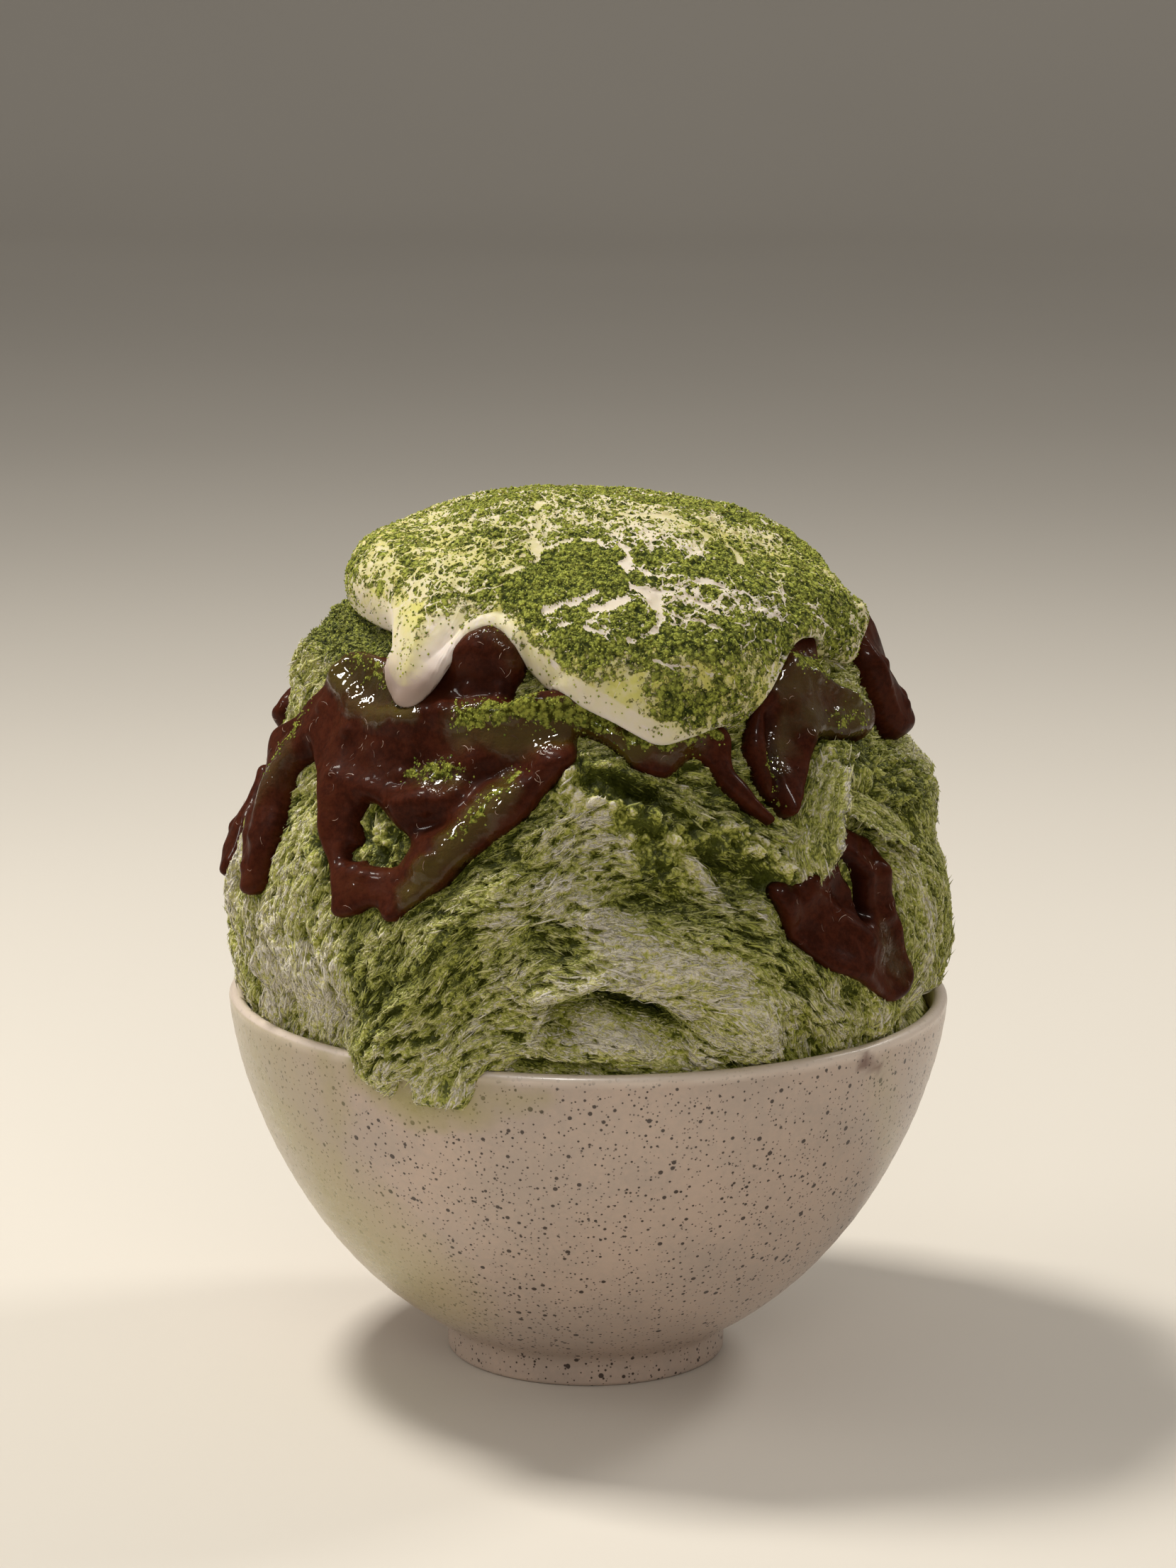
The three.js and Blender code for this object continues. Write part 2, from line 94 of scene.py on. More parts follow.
# Folds: a path over the mound as (azimuth, height), how far it reaches to each side, and how far it
# stands out of the mound, or sinks into it.
ICE_FOLDS = (
    (((3, 115), (-9, 107), (-19, 97), (-27, 86), (-30, 76)), 11, 3),
    (((-34, 69), (-27, 66.5), (-19, 66.5)), 9.5, 5.6),
    (((-7, 84), (2, 87.5), (13, 86), (24, 79)), 6, 2),
    (((-3, 76), (5, 79), (14, 76.5)), 6.5, -3.6),
    (((6, 99), (17, 98), (25, 99)), 7.5, -2.8),
    (((-2, 117), (3, 115), (12, 112)), 5.5, 1.8),
    (((20, 92), (26, 84), (25, 76)), 10, 2),
    (((33, 74), (38, 70)), 6, -2.6),
    (((48, 116), (43, 110), (39, 103)), 6, 3),
    (((36, 91), (44, 92), (51, 90), (54, 83)), 10, -4.6),
    (((47, 104), (52, 101)), 5, -2.4),
    (((55, 112), (66, 109), (78, 107), (90, 106)), 11, 2.8),
    (((96, 94), (90, 85), (84, 75)), 13, -2.4),
    (((62, 117), (72, 115)), 6, -1.6),
    (((68, 68.5), (82, 67.5), (96, 68.5)), 6, -3.4),
    (((-98, 133), (-82, 132.5), (-66, 131)), 11, 2),
    (((-49, 112), (-50, 104), (-49, 96)), 6, 1.4),
    (((-64, 88), (-53, 84), (-44, 79)), 10, 1.4),
    (((-70, 75), (-56, 73), (-42, 75)), 6, -1.6),
    (((-97, 104), (-92, 91), (-88, 78)), 14, -2.6),
    (((-88, 128), (-80, 126)), 8, 2.2),
    (((104, 114), (116, 104), (124, 92), (122, 80)), 12, 2),
    (((128, 98), (140, 92), (150, 82)), 8, -3.2),
    (((146, 112), (158, 100), (170, 86), (172, 76)), 11, 2),
    (((-176, 98), (-168, 90), (-158, 88)), 7, -2.8),
    (((-150, 114), (-144, 102), (-136, 90), (-140, 78)), 12, 2),
    (((-118, 100), (-112, 90), (-104, 82)), 7.5, -2.8),
    (((150, 77), (164, 80), (178, 76)), 6, -2.4),
)

# Creases and curls of the ice that are finer than its main folds, in the same terms.
ICE_CREASES = (
    (((-7, 82), (-5, 82.5), (1, 85), (8, 82), (15, 78)), 2.4, 1.4),
    (((-5, 78.5), (1, 81), (8, 78.5), (13, 75)), 2.8, -2.4),
    (((0, 115.5), (5, 114.5), (10, 113.5)), 2.8, -3.6),
    (((10, 114), (13, 111.5), (16, 109)), 2.4, -1.6),
    (((-5, 116), (-1, 112.5), (-5, 109), (-10, 106)), 2.6, 1.4),
    (((12, 105), (17, 105), (22, 102)), 2.2, -1.8),
    (((12, 108), (16, 104), (20, 98.5)), 2.2, 1.1),
    (((7, 97), (16, 96), (26, 91)), 4, -1.2),
    (((22, 107.5), (26, 106), (29.5, 103), (33, 99.5), (37, 96)), 2.6, 1.9),
    (((20, 103), (25, 102), (29, 99), (31, 96)), 2.4, -2.4),
    (((42, 104), (43, 99), (42, 96)), 2.2, -2.0),
    (((-33, 72), (-32, 80), (-29, 87)), 2.2, -1.4),
    (((-8, 92), (-3, 89)), 2.0, -1.3),
    (((-30, 80), (-24, 86), (-17, 92)), 2.0, -1.2),
    (((-18, 82), (-12, 87)), 1.8, -1.0),
    (((-24, 75), (-17, 76), (-11, 74)), 2.0, -1.4),
    (((46, 76), (38, 79), (32, 82)), 3, -1.6),
    (((-50, 98), (-53, 90), (-52, 83)), 2.4, -1.2),
    (((-62, 88), (-60, 80), (-58, 74)), 2.2, -1.2),
    (((58, 108), (66, 103), (68, 96)), 2.4, -1.4),
    (((100, 108), (108, 98), (112, 88)), 2.6, -1.6),
    (((132, 112), (134, 102), (130, 92)), 2.6, -1.6),
    (((160, 112), (156, 100), (160, 90)), 2.6, -1.6),
    (((-170, 108), (-166, 98), (-170, 88)), 2.6, -1.6),
    (((-132, 106), (-128, 96), (-130, 84)), 2.6, -1.6),
    (((-104, 108), (-100, 98), (-104, 88)), 2.6, -1.4),
    (((-84, 84), (-77, 81), (-71, 74)), 3.0, -2.2),
    (((-72, 92), (-67, 84), (-66, 76)), 2.6, -2.0),
    (((-58, 84), (-54, 78), (-56, 72)), 2.4, -1.6),
    (((-48, 88), (-43, 80), (-42, 72)), 2.2, -1.5),
    (((-41, 59), (-40, 65)), 2.6, -2.2),
    (((-28.5, 58), (-28, 65)), 2.8, -3.2),
    (((-17, 60), (-16.5, 66)), 3.2, -2.8),
)

# A lip of ice over a hollow: the lip as (azimuth, height), the hollow's depth just under it, and how far
# down it reaches.
LEDGES = (
    (((-9, 73), (-6, 78), (-1, 83), (3, 83.8), (6.5, 82), (10, 78.5), (14, 76), (18, 74)), 3.0, 9),
    (((-14, 69), (-9, 71), (-2, 70.6), (6, 69)), 1.6, 3),
    (((44, 103), (48, 104.5), (53, 103.5), (58, 100)), 2.0, 6),
    (((0, 116), (4, 117), (9, 116), (14, 114)), 2.4, 5),
)

# Where the ice is loose and crumbly, and where it is packed smooth, in the same terms.
CRUMBLY_ICE = (
    (((-7, 117), (0, 115), (6, 112), (10, 108), (12, 103)), 6.5, 1.1),
    (((16, 108), (26, 106), (33, 100.5), (37, 97)), 5, 1.0),
    (((48, 118), (60, 112), (74, 108)), 8, 0.8),
    (((-40, 106), (-34, 103)), 5, 0.9),
    (((-50, 104), (-47, 98)), 4, 0.6),
    (((110, 116), (124, 108)), 9, 0.8),
    (((174, 112), (-170, 108)), 9, 0.8),
    (((-112, 112), (-100, 108)), 8, 0.8),
)
PACKED_ICE = (
    (((-4, 78), (4, 76), (11, 74)), 5, 1.0),
    (((6, 89), (18, 84), (27, 77)), 10, 0.85),
    (((-78, 86), (-74, 76)), 8, 0.7),
    (((13, 106), (18, 101)), 3.5, 0.8),
    (((74, 104), (78, 92), (74, 80)), 8, 0.6),
    (((-12, 69), (2, 69), (14, 70)), 3, 0.9),
    (((-58, 77), (-48, 75)), 7, 0.8),
    (((144, 88), (156, 80)), 9, 0.7),
    (((-164, 90), (-154, 82)), 9, 0.7),
)


# Bean paste: the runs of one piece flow together; each is a path as (azimuth, height, half width).
# A bare patch is a hole through the paste in the same terms.
PASTE_EDGE = 3.2
PASTE_BLEND = 3.0
PASTE_PIECES = {
    "bean_paste_left": (3.2, (
        ((-59, 119, 4.6), (-52, 119, 7.6), (-39, 118, 9), (-28, 118, 8.5), (-18, 119, 7), (-10, 123, 5)),
        ((-10, 124, 4.6), (-3, 127, 4), (5, 125, 3.5)),
        ((-57, 124, 4), (-53, 128, 5), (-45, 128, 5)),
        ((-60, 121, 5), (-70, 113, 6.6), (-69, 105, 6.2), (-65, 98, 4.4), (-62.5, 93.5, 2.8)),
        ((-50, 114, 5), (-46, 109, 4.4), (-43.5, 103, 3.4), (-41, 98.5, 3), (-38.5, 95, 2.6)),
        ((-40, 93, 1.8), (-37, 97, 3.4), (-30, 98, 3.6), (-25, 101, 3.6)),
        ((-7, 119, 4), (-13.5, 113.2, 4.6), (-20, 108, 5.2), (-26.5, 101.5, 4.4), (-30, 94.5, 2)),
        ((-33, 112, 5), (-25, 108, 5)),
        ((-26, 126, 8), (-21, 134, 6)),
        ((5, 125, 3.4), (9.5, 119.8, 3.2), (13, 119.5, 3.2), (18, 122, 3.2), (23.5, 121.5, 2.9)),
        ((23.5, 121, 2.4), (24.5, 116, 1.6), (28, 111.5, 1.3), (30.6, 108.6, 1.1)),
    ), (
        ((-40.6, 101.6, 1.2), (-37.6, 102.6, 1.5)),
        ((-57, 108.5, 0.5), (-53.5, 104.5, 1.6), (-49, 100, 2.2), (-45, 94, 2.6)),
    )),
    "bean_paste_right": (3.6, (
        ((51, 134.5, 4), (45, 127, 6.8), (39, 120.5, 5.2), (36, 114.5, 3.2), (34.5, 109.5, 1.6)),
        ((37, 125, 4), (33, 120, 3.6), (33.5, 114, 2.4)),
        ((46, 126, 4.4), (54, 123, 4.8), (60.5, 121, 3.4)),
    ), ()),
    "bean_paste_far_right": (4.6, (((78, 133, 4.4), (80, 127.5, 7.8), (81, 121, 6.8)),), ()),
    "bean_paste_low_right": (2.8, (
        ((31, 97, 2.2), (36, 91.5, 4.2), (41, 87.5, 5.2), (47, 84.5, 5), (53, 79, 4)),
        ((46, 104, 3), (50, 100, 4.6), (51, 93, 5.4), (53, 86, 5.4), (55, 80, 4.2)),
        ((37, 97.5, 2.6), (43, 96, 4.6), (46, 90, 5)),
    ), ()),
    "bean_paste_far_left": (2.2, (((-88, 106, 2.4), (-82, 99, 3.4), (-78, 93, 2.6)),), ()),
    "bean_paste_back_left": (3.0, (
        ((-98, 116, 4), (-108, 120, 7.5), (-122, 122, 9), (-138, 122, 7)),
        ((-118, 116, 6), (-122, 105, 4), (-121, 97, 3)),
    ), ()),
    "bean_paste_back_right": (3.2, (
        ((124, 126, 5), (138, 121, 8.5), (156, 120, 8), (172, 125, 5)),
        ((142, 117, 6), (146, 106, 4), (144, 97, 3)),
        ((160, 117, 5), (166, 108, 3.2), (165, 102, 2.6)),
    ), ()),
}

# Rolls and hollows in the paste's own surface, in the terms of the ice's folds.
PASTE_FOLDS = (
    (((-58, 127), (-50, 123.5), (-43, 122), (-34, 123), (-29, 125)), 3.2, 0.8),
    (((-54, 129), (-46, 126.5), (-38, 126)), 4, -0.9),
    (((-47, 117), (-36, 115), (-27, 116)), 6, -0.8),
    (((-26, 114), (-20, 115), (-12, 117)), 3.4, -0.9),
    (((-8, 118), (-13.5, 113.6), (-20, 108.6), (-26, 102)), 4.4, 1.5),
    (((-33, 110.5), (-28, 111.5), (-23, 113)), 3.4, 1.3),
    (((-31, 107), (-24, 108)), 2.6, -1.0),
    (((-27, 124), (-20, 125.5), (-10, 126.5), (-2, 127)), 3.4, 1.5),
    (((-27, 133), (-22, 136), (-15, 133)), 3.6, 1.4),
    (((-30, 129), (-21, 129.5), (-14, 129)), 4, -1.0),
    (((-66, 114), (-67, 105), (-63, 97)), 4.5, 0.9),
    (((-60, 115), (-58, 109)), 3, -0.9),
    (((43, 131), (50, 128.5), (58, 125)), 3.6, 1.4),
    (((35, 124), (33.5, 117), (32.5, 110)), 1.6, -1.2),
    (((44, 122), (39, 115), (35, 109)), 3, 0.7),
    (((9, 121), (14, 120), (19, 122), (25, 121)), 2.6, 0.8),
    (((33, 94), (42, 90), (50, 85)), 4, 0.8),
    (((45, 100), (48, 96), (49, 91)), 2.4, -2.8),
    (((36, 96), (42, 93), (47, 88)), 2.4, 0.9),
    (((53, 98), (54, 90)), 2.4, 0.7),
)

# Cream: a blanket over the top, whose hem hangs to a height that changes round the mound, given as
# (azimuth, height); and swells of its outer face in the terms of the ice's folds.
CREAM_THICKNESS = 7.4
CREAM_HEM_THICKNESS = 2.2
CREAM_SHOULDER = 12.0
CREAM_LEAST = 1.8
CREAM_EDGE = 3.0
CREAM_HEM = (
    (-180, 137), (-160, 137.5), (-146, 133), (-136, 129), (-126, 132), (-115, 136.5), (-98, 139),
    (-84, 138.5), (-74, 137.2), (-64, 136.6), (-55, 136.2), (-48, 135.2), (-44, 131.6), (-41.2, 127),
    (-37.8, 124.6), (-33.6, 124.6), (-30.6, 127.2), (-28.4, 131.4), (-25.4, 135), (-20, 136.4),
    (-15, 134), (-9, 130.2), (-3, 126.8), (3, 124.2), (8, 121.8), (12, 120.6), (17, 121.2), (23, 122.6),
    (30, 124), (36, 127.6), (41, 131), (46, 133.4), (51, 133.6), (56, 132.4), (61, 131), (66, 129.6),
    (71, 130.4), (76, 133), (83, 136.4), (92, 138), (108, 136), (124, 131), (138, 135), (154, 137.5),
    (168, 138.5),
)
CREAM_SWELLS = (
    (((-66, 140), (-88, 140)), 14, 2.6),
    (((-35, 128), (-38, 134)), 9, 0.4),
    (((2, 130), (12, 127), (24, 129)), 14, 1.8),
    (((-60, 147.5), (-110, 147.5)), 20, 1),
    (((60, 141), (84, 139), (104, 139)), 20, -1.6),
    (((62, 140), (74, 138)), 9, 1.4),
)

# Which way the shavings lie: (azimuth, height, angle), the angle in degrees up from the level.
GRAIN = (
    (-12, 97, 30), (-4, 106, 25), (4, 108, 20), (-23, 97, 42), (-15, 87, 35), (-30, 83, 62),
    (-33, 71, 45), (-24, 63, 55), (-36, 63, 60), (-30, 66, 40), (-6, 98, 18), (1, 85, 4), (12, 93, -8),
    (24, 96, -25), (30, 83, -38), (38, 74, -65), (43, 72, -70), (5, 80, -3), (17, 77, -20), (-6, 72, 2),
    (8, 72, -3), (43, 110, 70), (50, 116, 60), (20, 108, -22), (29, 103, -28), (61, 109, -15),
    (69, 102, -50), (69, 88, -88), (66, 78, -95), (-61, 84, 95), (-45, 82, 105), (-53, 93, 80),
    (-42, 94, 75), (-47, 73, 60), (-67, 73, 80), (2, 121, 35), (10, 114, -5), (18, 114, 10),
    (72, 118, -10), (-78, 133, 40), (-70, 140, 20), (-95, 90, 100), (95, 95, -70), (118, 105, -35),
    (124, 84, -80), (140, 90, -20), (158, 104, 40), (170, 84, 70), (-170, 90, 20), (-150, 108, -30),
    (-138, 84, -75), (-116, 92, 15), (-104, 78, 60), (180, 112, 0),
)

# How much syrup the ice has soaked up, on top of a middling amount: path, reach and amount. Some entries
# paint shade into grooves, a cavity and under lips, and light onto a ridge.
SYRUP_AND_SHADE = (
    (((-9, 107), (-16, 99), (-21, 93), (-28, 84), (-30, 78)), 11, 0.2),
    # Darker in two grooves of the creases: pooled syrup and painted shade.
    (((-30, 80), (-24, 86), (-17, 93)), 5, 0.3),
    (((-9, 92), (-3, 89)), 5, 0.35),
    (((-6, 117), (-1, 113), (4, 110), (8, 106)), 5, -0.8),
    (((-2, 106), (-8, 101), (-12, 96)), 6, -0.22),
    # The dark cavity under the top lip: painted shade.
    (((1, 115), (5, 114), (9, 112)), 4, 0.7),
    (((6, 112), (9, 109), (11, 105)), 5, 0.3),
    (((10, 114), (13, 112), (17, 109)), 4.5, 0.35),
    (((13, 108), (17, 103), (21, 98)), 3.5, -0.3),
    (((7, 97), (16, 95), (26, 90)), 7, 0.4),
    (((-2, 97), (5, 91), (9, 86)), 7, -0.45),
    (((14, 89), (20, 82), (30, 72)), 10, -0.27),
    (((-5, 76), (2, 75), (10, 72.5)), 6, -0.6),
    # Darker just under the lips of the ledges: painted shadow.
    (((-3, 81.5), (3, 81.8), (8, 79), (12, 76)), 2.6, 0.75),
    (((-10, 69.5), (-2, 69)), 2.4, 0.6),
    (((-6, 82), (1, 85), (8, 82)), 3, -0.2),
    (((16, 71), (20, 70)), 5, -0.3),
    # Paler on a ridge and darker in the groove under it: painted light and shade.
    (((21, 108), (26, 106), (29.5, 103), (33, 99.5), (37, 96)), 3.2, -0.2),
    (((20, 103), (25, 102), (29, 99), (31, 96)), 3, 0.6),
    (((22, 112), (28, 110)), 4, 0.35),
    (((32, 97), (28, 94)), 3, -0.3),
    (((60, 114), (72, 106), (78, 96)), 9, 0.3),
    (((66, 106), (69, 98)), 4, 0.25),
    (((70, 94), (78, 86), (76, 78)), 9, 0.35),
    (((54, 112), (64, 109), (74, 105)), 6, 0.2),
    (((58, 118), (70, 117)), 6, 0.25),
    (((69, 93), (66, 83), (62, 75)), 7, -0.12),
    (((36, 78), (42, 75), (50, 73)), 5, -0.2),
    (((34, 80), (30, 86)), 3, 0.3),
    (((-59, 84), (-51, 81), (-43, 80)), 10, -0.6),
    (((-62, 73), (-50, 76), (-44, 74)), 9, -0.5),
    (((-47, 105), (-47, 98), (-54, 94)), 5, -0.2),
    (((-74, 96), (-72, 84)), 8, -0.45),
    (((-36, 94), (-37, 86), (-35, 78)), 4, 0.35),
    (((-18, 67), (-30, 67)), 8, -0.2),
    (((-40, 104), (-34, 102)), 5, 0.1),
    (((104, 112), (118, 98), (124, 84)), 14, 0.3),
    (((140, 88), (154, 80)), 12, -0.5),
    (((160, 104), (172, 90)), 12, 0.25),
    (((-168, 94), (-156, 84)), 12, -0.5),
    (((-142, 104), (-138, 86)), 13, 0.3),
    (((-112, 90), (-98, 82)), 12, -0.4),
)

# Where dry powder lies on the ice, in the same terms.
POWDERED_ICE = (
    (((-100, 136), (-84, 134), (-68, 134), (-52, 133)), 11, 0.95),
    (((-12, 113), (-4, 118), (4, 119)), 5, 0.45),
    (((4, 112), (9, 108)), 4, 0.3),
    (((20, 109), (27, 106), (33, 101)), 3, 0.3),
    (((66, 120), (56, 118), (46, 114)), 5, 0.5),
    (((72, 112), (82, 104), (88, 96)), 8, 0.45),
    (((110, 126), (104, 116)), 10, 0.6),
    (((180, 126), (-164, 122)), 12, 0.8),
    (((-100, 124), (-92, 116)), 7, 0.7),
)


# ---- Settings -----------------------------------------------------------------------------------


def length_setting(name, description, millimetres):
    return bpy.props.FloatProperty(
        name=name, description=description, default=millimetres * MM, min=0.0, unit="LENGTH", precision=5
    )


def colour_setting(name, description, colour):
    return bpy.props.FloatVectorProperty(
        name=name, description=description, default=colour, min=0.0, max=1.0, size=3, subtype="COLOR"
    )


class BowlSettings(bpy.types.PropertyGroup):
    """The stoneware bowl."""

    glaze: colour_setting("Glaze", "Colour of the glaze", (0.5, 0.405, 0.345))
    rim: colour_setting("Rim", "Colour of the rim, where the glaze is thin", (0.72, 0.62, 0.54))
    speckle: colour_setting("Speckle", "Colour of the iron speckles", (0.03, 0.014, 0.009))
    speckle_spacing: length_setting("Speckle spacing", "Mean distance between speckles", 1.75)


class IceSettings(bpy.types.PropertyGroup):
    """The mound of shaved ice."""

    wet: colour_setting("Soaked", "Colour of ice full of syrup", (0.09, 0.105, 0.01))
    green: colour_setting("Green", "Colour of ice with some syrup", (0.47, 0.49, 0.085))
    pale: colour_setting("Pale", "Colour of ice with little syrup", (0.78, 0.74, 0.31))
    white: colour_setting("White", "Colour of bare ice", (0.9, 0.84, 0.69))
    shaving_width: length_setting("Shaving width", "Width of a shaving", 0.5)
    shavings: bpy.props.IntProperty(
        name="Shavings", description="How many shavings of each kind lie on the mound", default=15500, min=0
    )


class PasteSettings(bpy.types.PropertyGroup):
    """The sweet bean paste."""

    paste: colour_setting("Paste", "Colour of the bean paste", (0.064, 0.0145, 0.0062))
    stained: colour_setting("Stained", "Colour of paste with syrup in it", (0.07, 0.046, 0.004))
    ripple: length_setting("Ripple", "Height of the paste's uneven surface", 0.65)


class CreamSettings(bpy.types.PropertyGroup):
    """The whipped cream and the powder on it."""

    cream: colour_setting("Cream", "Colour of the bare cream", (0.78, 0.69, 0.64))
    film: colour_setting("Film", "Colour of cream under a thin film of powder", (0.72, 0.68, 0.22))
    powder_dark: colour_setting("Powder, dark", "Colour in the depth of the powder", (0.022, 0.031, 0.002))
    powder_light: colour_setting("Powder, light", "Colour of the powder's grains", (0.37, 0.4, 0.068))
    powder_depth: length_setting("Powder depth", "Thickness of the powder's crust", 0.75)
    crack_spacing: length_setting("Crack spacing", "Mean distance between the cracks of the lace", 4.4)
    grains: bpy.props.IntProperty(
        name="Grains", description="How many loose grains of powder lie on the food", default=22000, min=0
    )


class StageSettings(bpy.types.PropertyGroup):
    """The floor, the lights and the camera."""

    floor: colour_setting("Floor", "Colour of the floor", (0.7, 0.665, 0.61))
    distance: length_setting("Camera distance", "How far the camera stands from the bowl's axis", 789.5)
    height: length_setting("Camera height", "Height of the camera over the floor", 263.8)
    sideways: bpy.props.FloatProperty(
        name="Camera shift", description="How far the camera stands to the right",
        default=-0.34 * MM, unit="LENGTH", precision=5,
    )
    lens: bpy.props.FloatProperty(
        name="Lens", description="Focal length", default=102.97, min=1.0, unit="CAMERA"
    )
    tilt: bpy.props.FloatProperty(
        name="Tilt", description="How far the camera looks down", default=0.1987, subtype="ANGLE"
    )
    roll: bpy.props.FloatProperty(
        name="Roll", description="Turn of the camera about its own axis", default=0.0074, subtype="ANGLE"
    )


class DessertSettings(bpy.types.PropertyGroup):
    """All the sizes and colours of the dessert."""

    bowl: bpy.props.PointerProperty(name="Bowl", description="The stoneware bowl", type=BowlSettings)
    ice: bpy.props.PointerProperty(name="Ice", description="The mound of shaved ice", type=IceSettings)
    paste: bpy.props.PointerProperty(name="Paste", description="The sweet bean paste", type=PasteSettings)
    cream: bpy.props.PointerProperty(name="Cream", description="The powdered cream", type=CreamSettings)
    stage: bpy.props.PointerProperty(name="Stage", description="Floor, lights, camera", type=StageSettings)


def settings():
    return bpy.context.scene.dessert


# ---- Numbers: curves, noise and distances -------------------------------------------------------


def smoothstep(low, high, x):
    share = np.clip((x - low) / (high - low), 0.0, 1.0)
    return share * share * (3.0 - 2.0 * share)


def curve_through(xs, ys, x):
    """A smooth curve through points in rising order of x."""
    slopes = np.empty(len(xs))
    slopes[1:-1] = (ys[2:] - ys[:-2]) / (xs[2:] - xs[:-2])
    slopes[0] = (ys[1] - ys[0]) / (xs[1] - xs[0])
    slopes[-1] = (ys[-1] - ys[-2]) / (xs[-1] - xs[-2])
    i = np.clip(np.searchsorted(xs, x, side="right") - 1, 0, len(xs) - 2)
    step = xs[i + 1] - xs[i]
    t = np.clip((x - xs[i]) / step, 0.0, 1.0)
    return (
        ys[i] * (1 + 2 * t) * (1 - t) ** 2 + slopes[i] * step * t * (1 - t) ** 2
        + ys[i + 1] * t * t * (3 - 2 * t) + slopes[i + 1] * step * t * t * (t - 1)
    )


def hashed(cell, seed):
    """A random but repeatable 32-bit number for each whole-numbered cell of space."""
    c = cell.astype(np.int64).astype(np.uint32)
    h = c[..., 0] * np.uint32(0x8DA6B343) + c[..., 1] * np.uint32(0xD8163841)
    h += c[..., 2] * np.uint32(0xCB1AB31F) + np.uint32((seed * 0x9E3779B1) & 0xFFFFFFFF)
    h ^= h >> np.uint32(15)
    h *= np.uint32(0x2C1B3C6D)
    h ^= h >> np.uint32(12)
    h *= np.uint32(0x297A2D39)
    return h ^ (h >> np.uint32(15))


def hashed_vector(cell, seed):
    """A random but repeatable vector, each part between 0 and 1, for each cell of space."""
    h = hashed(cell, seed)
    parts = [(h >> np.uint32(shift)) & np.uint32(1023) for shift in (0, 10, 20)]
    return np.stack(parts, axis=-1).astype(np.float32) / 1023.0


def noise(points, spacing, seed):
    """Smooth noise between about -1 and 1, whose bumps are the spacing apart."""
    p = (points / spacing).astype(np.float32)
    base = np.floor(p)
    f = p - base
    fade = f * f * f * (f * (f * 6 - 15) + 10)
    total = np.zeros(len(p), np.float32)
    for corner in itertools.product((0, 1), repeat=3):
        c = np.array(corner, np.float32)
        slope = hashed_vector(base + c, seed) * 2 - 1
        weight = np.prod(np.where(c > 0, fade, 1 - fade), axis=1)
        total += weight * np.einsum("ij,ij->i", slope, f - c)
    return total * 1.7


def rough_noise(points, spacing, seed, octaves=3, fall=0.5):
    """Noise with finer and finer noise added to it."""
    octave = range(octaves)
    total = sum(fall**k * noise(points, spacing / 2**k, seed + 17 * k) for k in octave)
    return total / sum(fall**k for k in octave)


def noises(points, *fields):
    """Fields of noise added up, each given as (height, spacing, seed)."""
    return sum(height * noise(points, spacing, seed) for height, spacing, seed in fields)


def shaken(points, reach, spacing, seeds, octaves=1, fall=0.5):
    """The points, each moved by up to a reach by three fields of noise."""
    shifts = [rough_noise(points, spacing, seed, octaves, fall) for seed in seeds]
    return points + reach * np.stack(shifts, axis=1)


def nearest_cells(points, spacing, seed):
    """Distance from each point to the nearest of a set of scattered seeds, in spacings."""
    p = (points / spacing).astype(np.float32)
    base = np.floor(p)
    nearest = np.full(len(p), 9.0, np.float32)
    for offset in itertools.product((-1, 0, 1), repeat=3):
        cell = base + np.array(offset, np.float32)
        nearest = np.minimum(nearest, np.linalg.norm(cell + hashed_vector(cell, seed) - p, axis=1))
    return nearest


def unit(vectors):
    """Vectors scaled to a length of 1."""
    return vectors / np.linalg.norm(vectors, axis=1, keepdims=True)


def squared_gaps(points, others):
    """The squared distance from each point to each of the others."""
    return (points**2).sum(axis=1)[:, None] + (others**2).sum(axis=1) - 2 * points @ others.T


def azimuths(points):
    """Azimuths of points, in radians."""
    return np.arctan2(points[:, 0], -points[:, 1])


def around(azimuth, radius, height):
    """Points at azimuths in radians, distances from the axis and heights."""
    return np.stack([radius * np.sin(azimuth), -radius * np.cos(azimuth), height], axis=-1)


def swelling(points, spacing, phase):
    """Irregular but repeatable swelling, between about -1 and 1: three waves that cross at odd angles."""
    waves = np.array([(0.8, 0.5, 0.33), (-0.45, 0.75, 0.49), (0.3, -0.6, 0.74)])
    phases = np.array([1.0, 2.1, 3.7]) * phase
    return np.sin(points @ waves.T * (2 * math.pi / spacing) + phases).mean(axis=1)


def away_from(points, path):
    """Distance from each point to a path of (x, y, z, half width), less the half width there."""
    nearest = np.full(len(points), np.inf)
    for start, end in zip(path[:-1], path[1:]):
        along = end[:3] - start[:3]
        offset = points - start[:3]
        t = np.clip(offset @ along / (along @ along), 0.0, 1.0)
        away = np.linalg.norm(offset - t[:, None] * along, axis=1)
        nearest = np.minimum(nearest, away - start[3] - (end[3] - start[3]) * t)
    return nearest


def blended_min(a, b, softness):
    """The smaller of two distances, rounded off where they are nearly equal."""
    share = np.maximum(softness - np.abs(a - b), 0.0) / softness
    return np.minimum(a, b) - share * share * softness / 4


def domed(outline, thickness, edge):
    """Thickness at a distance inside the edge: a round edge that levels off at the full thickness."""
    share = np.clip(-outline / edge, 0.0, 1.0)
    return thickness * np.sqrt(share * (2 - share))


# ---- Layers of the food, by direction from the mound's centre -----------------------------------


def mound_distance(directions):
    """Distance from the centre to the smooth mound, for each direction."""
    radius, height = MOUND_OUTLINE[::-1].T
    angles = np.arctan2(radius, height - MOUND_CENTRE)
    distances = np.hypot(radius, height - MOUND_CENTRE)
    return curve_through(angles, distances, np.arccos(np.clip(directions[:, 2], -1, 1)))


def mound_points(directions):
    return directions * mound_distance(directions)[:, None]


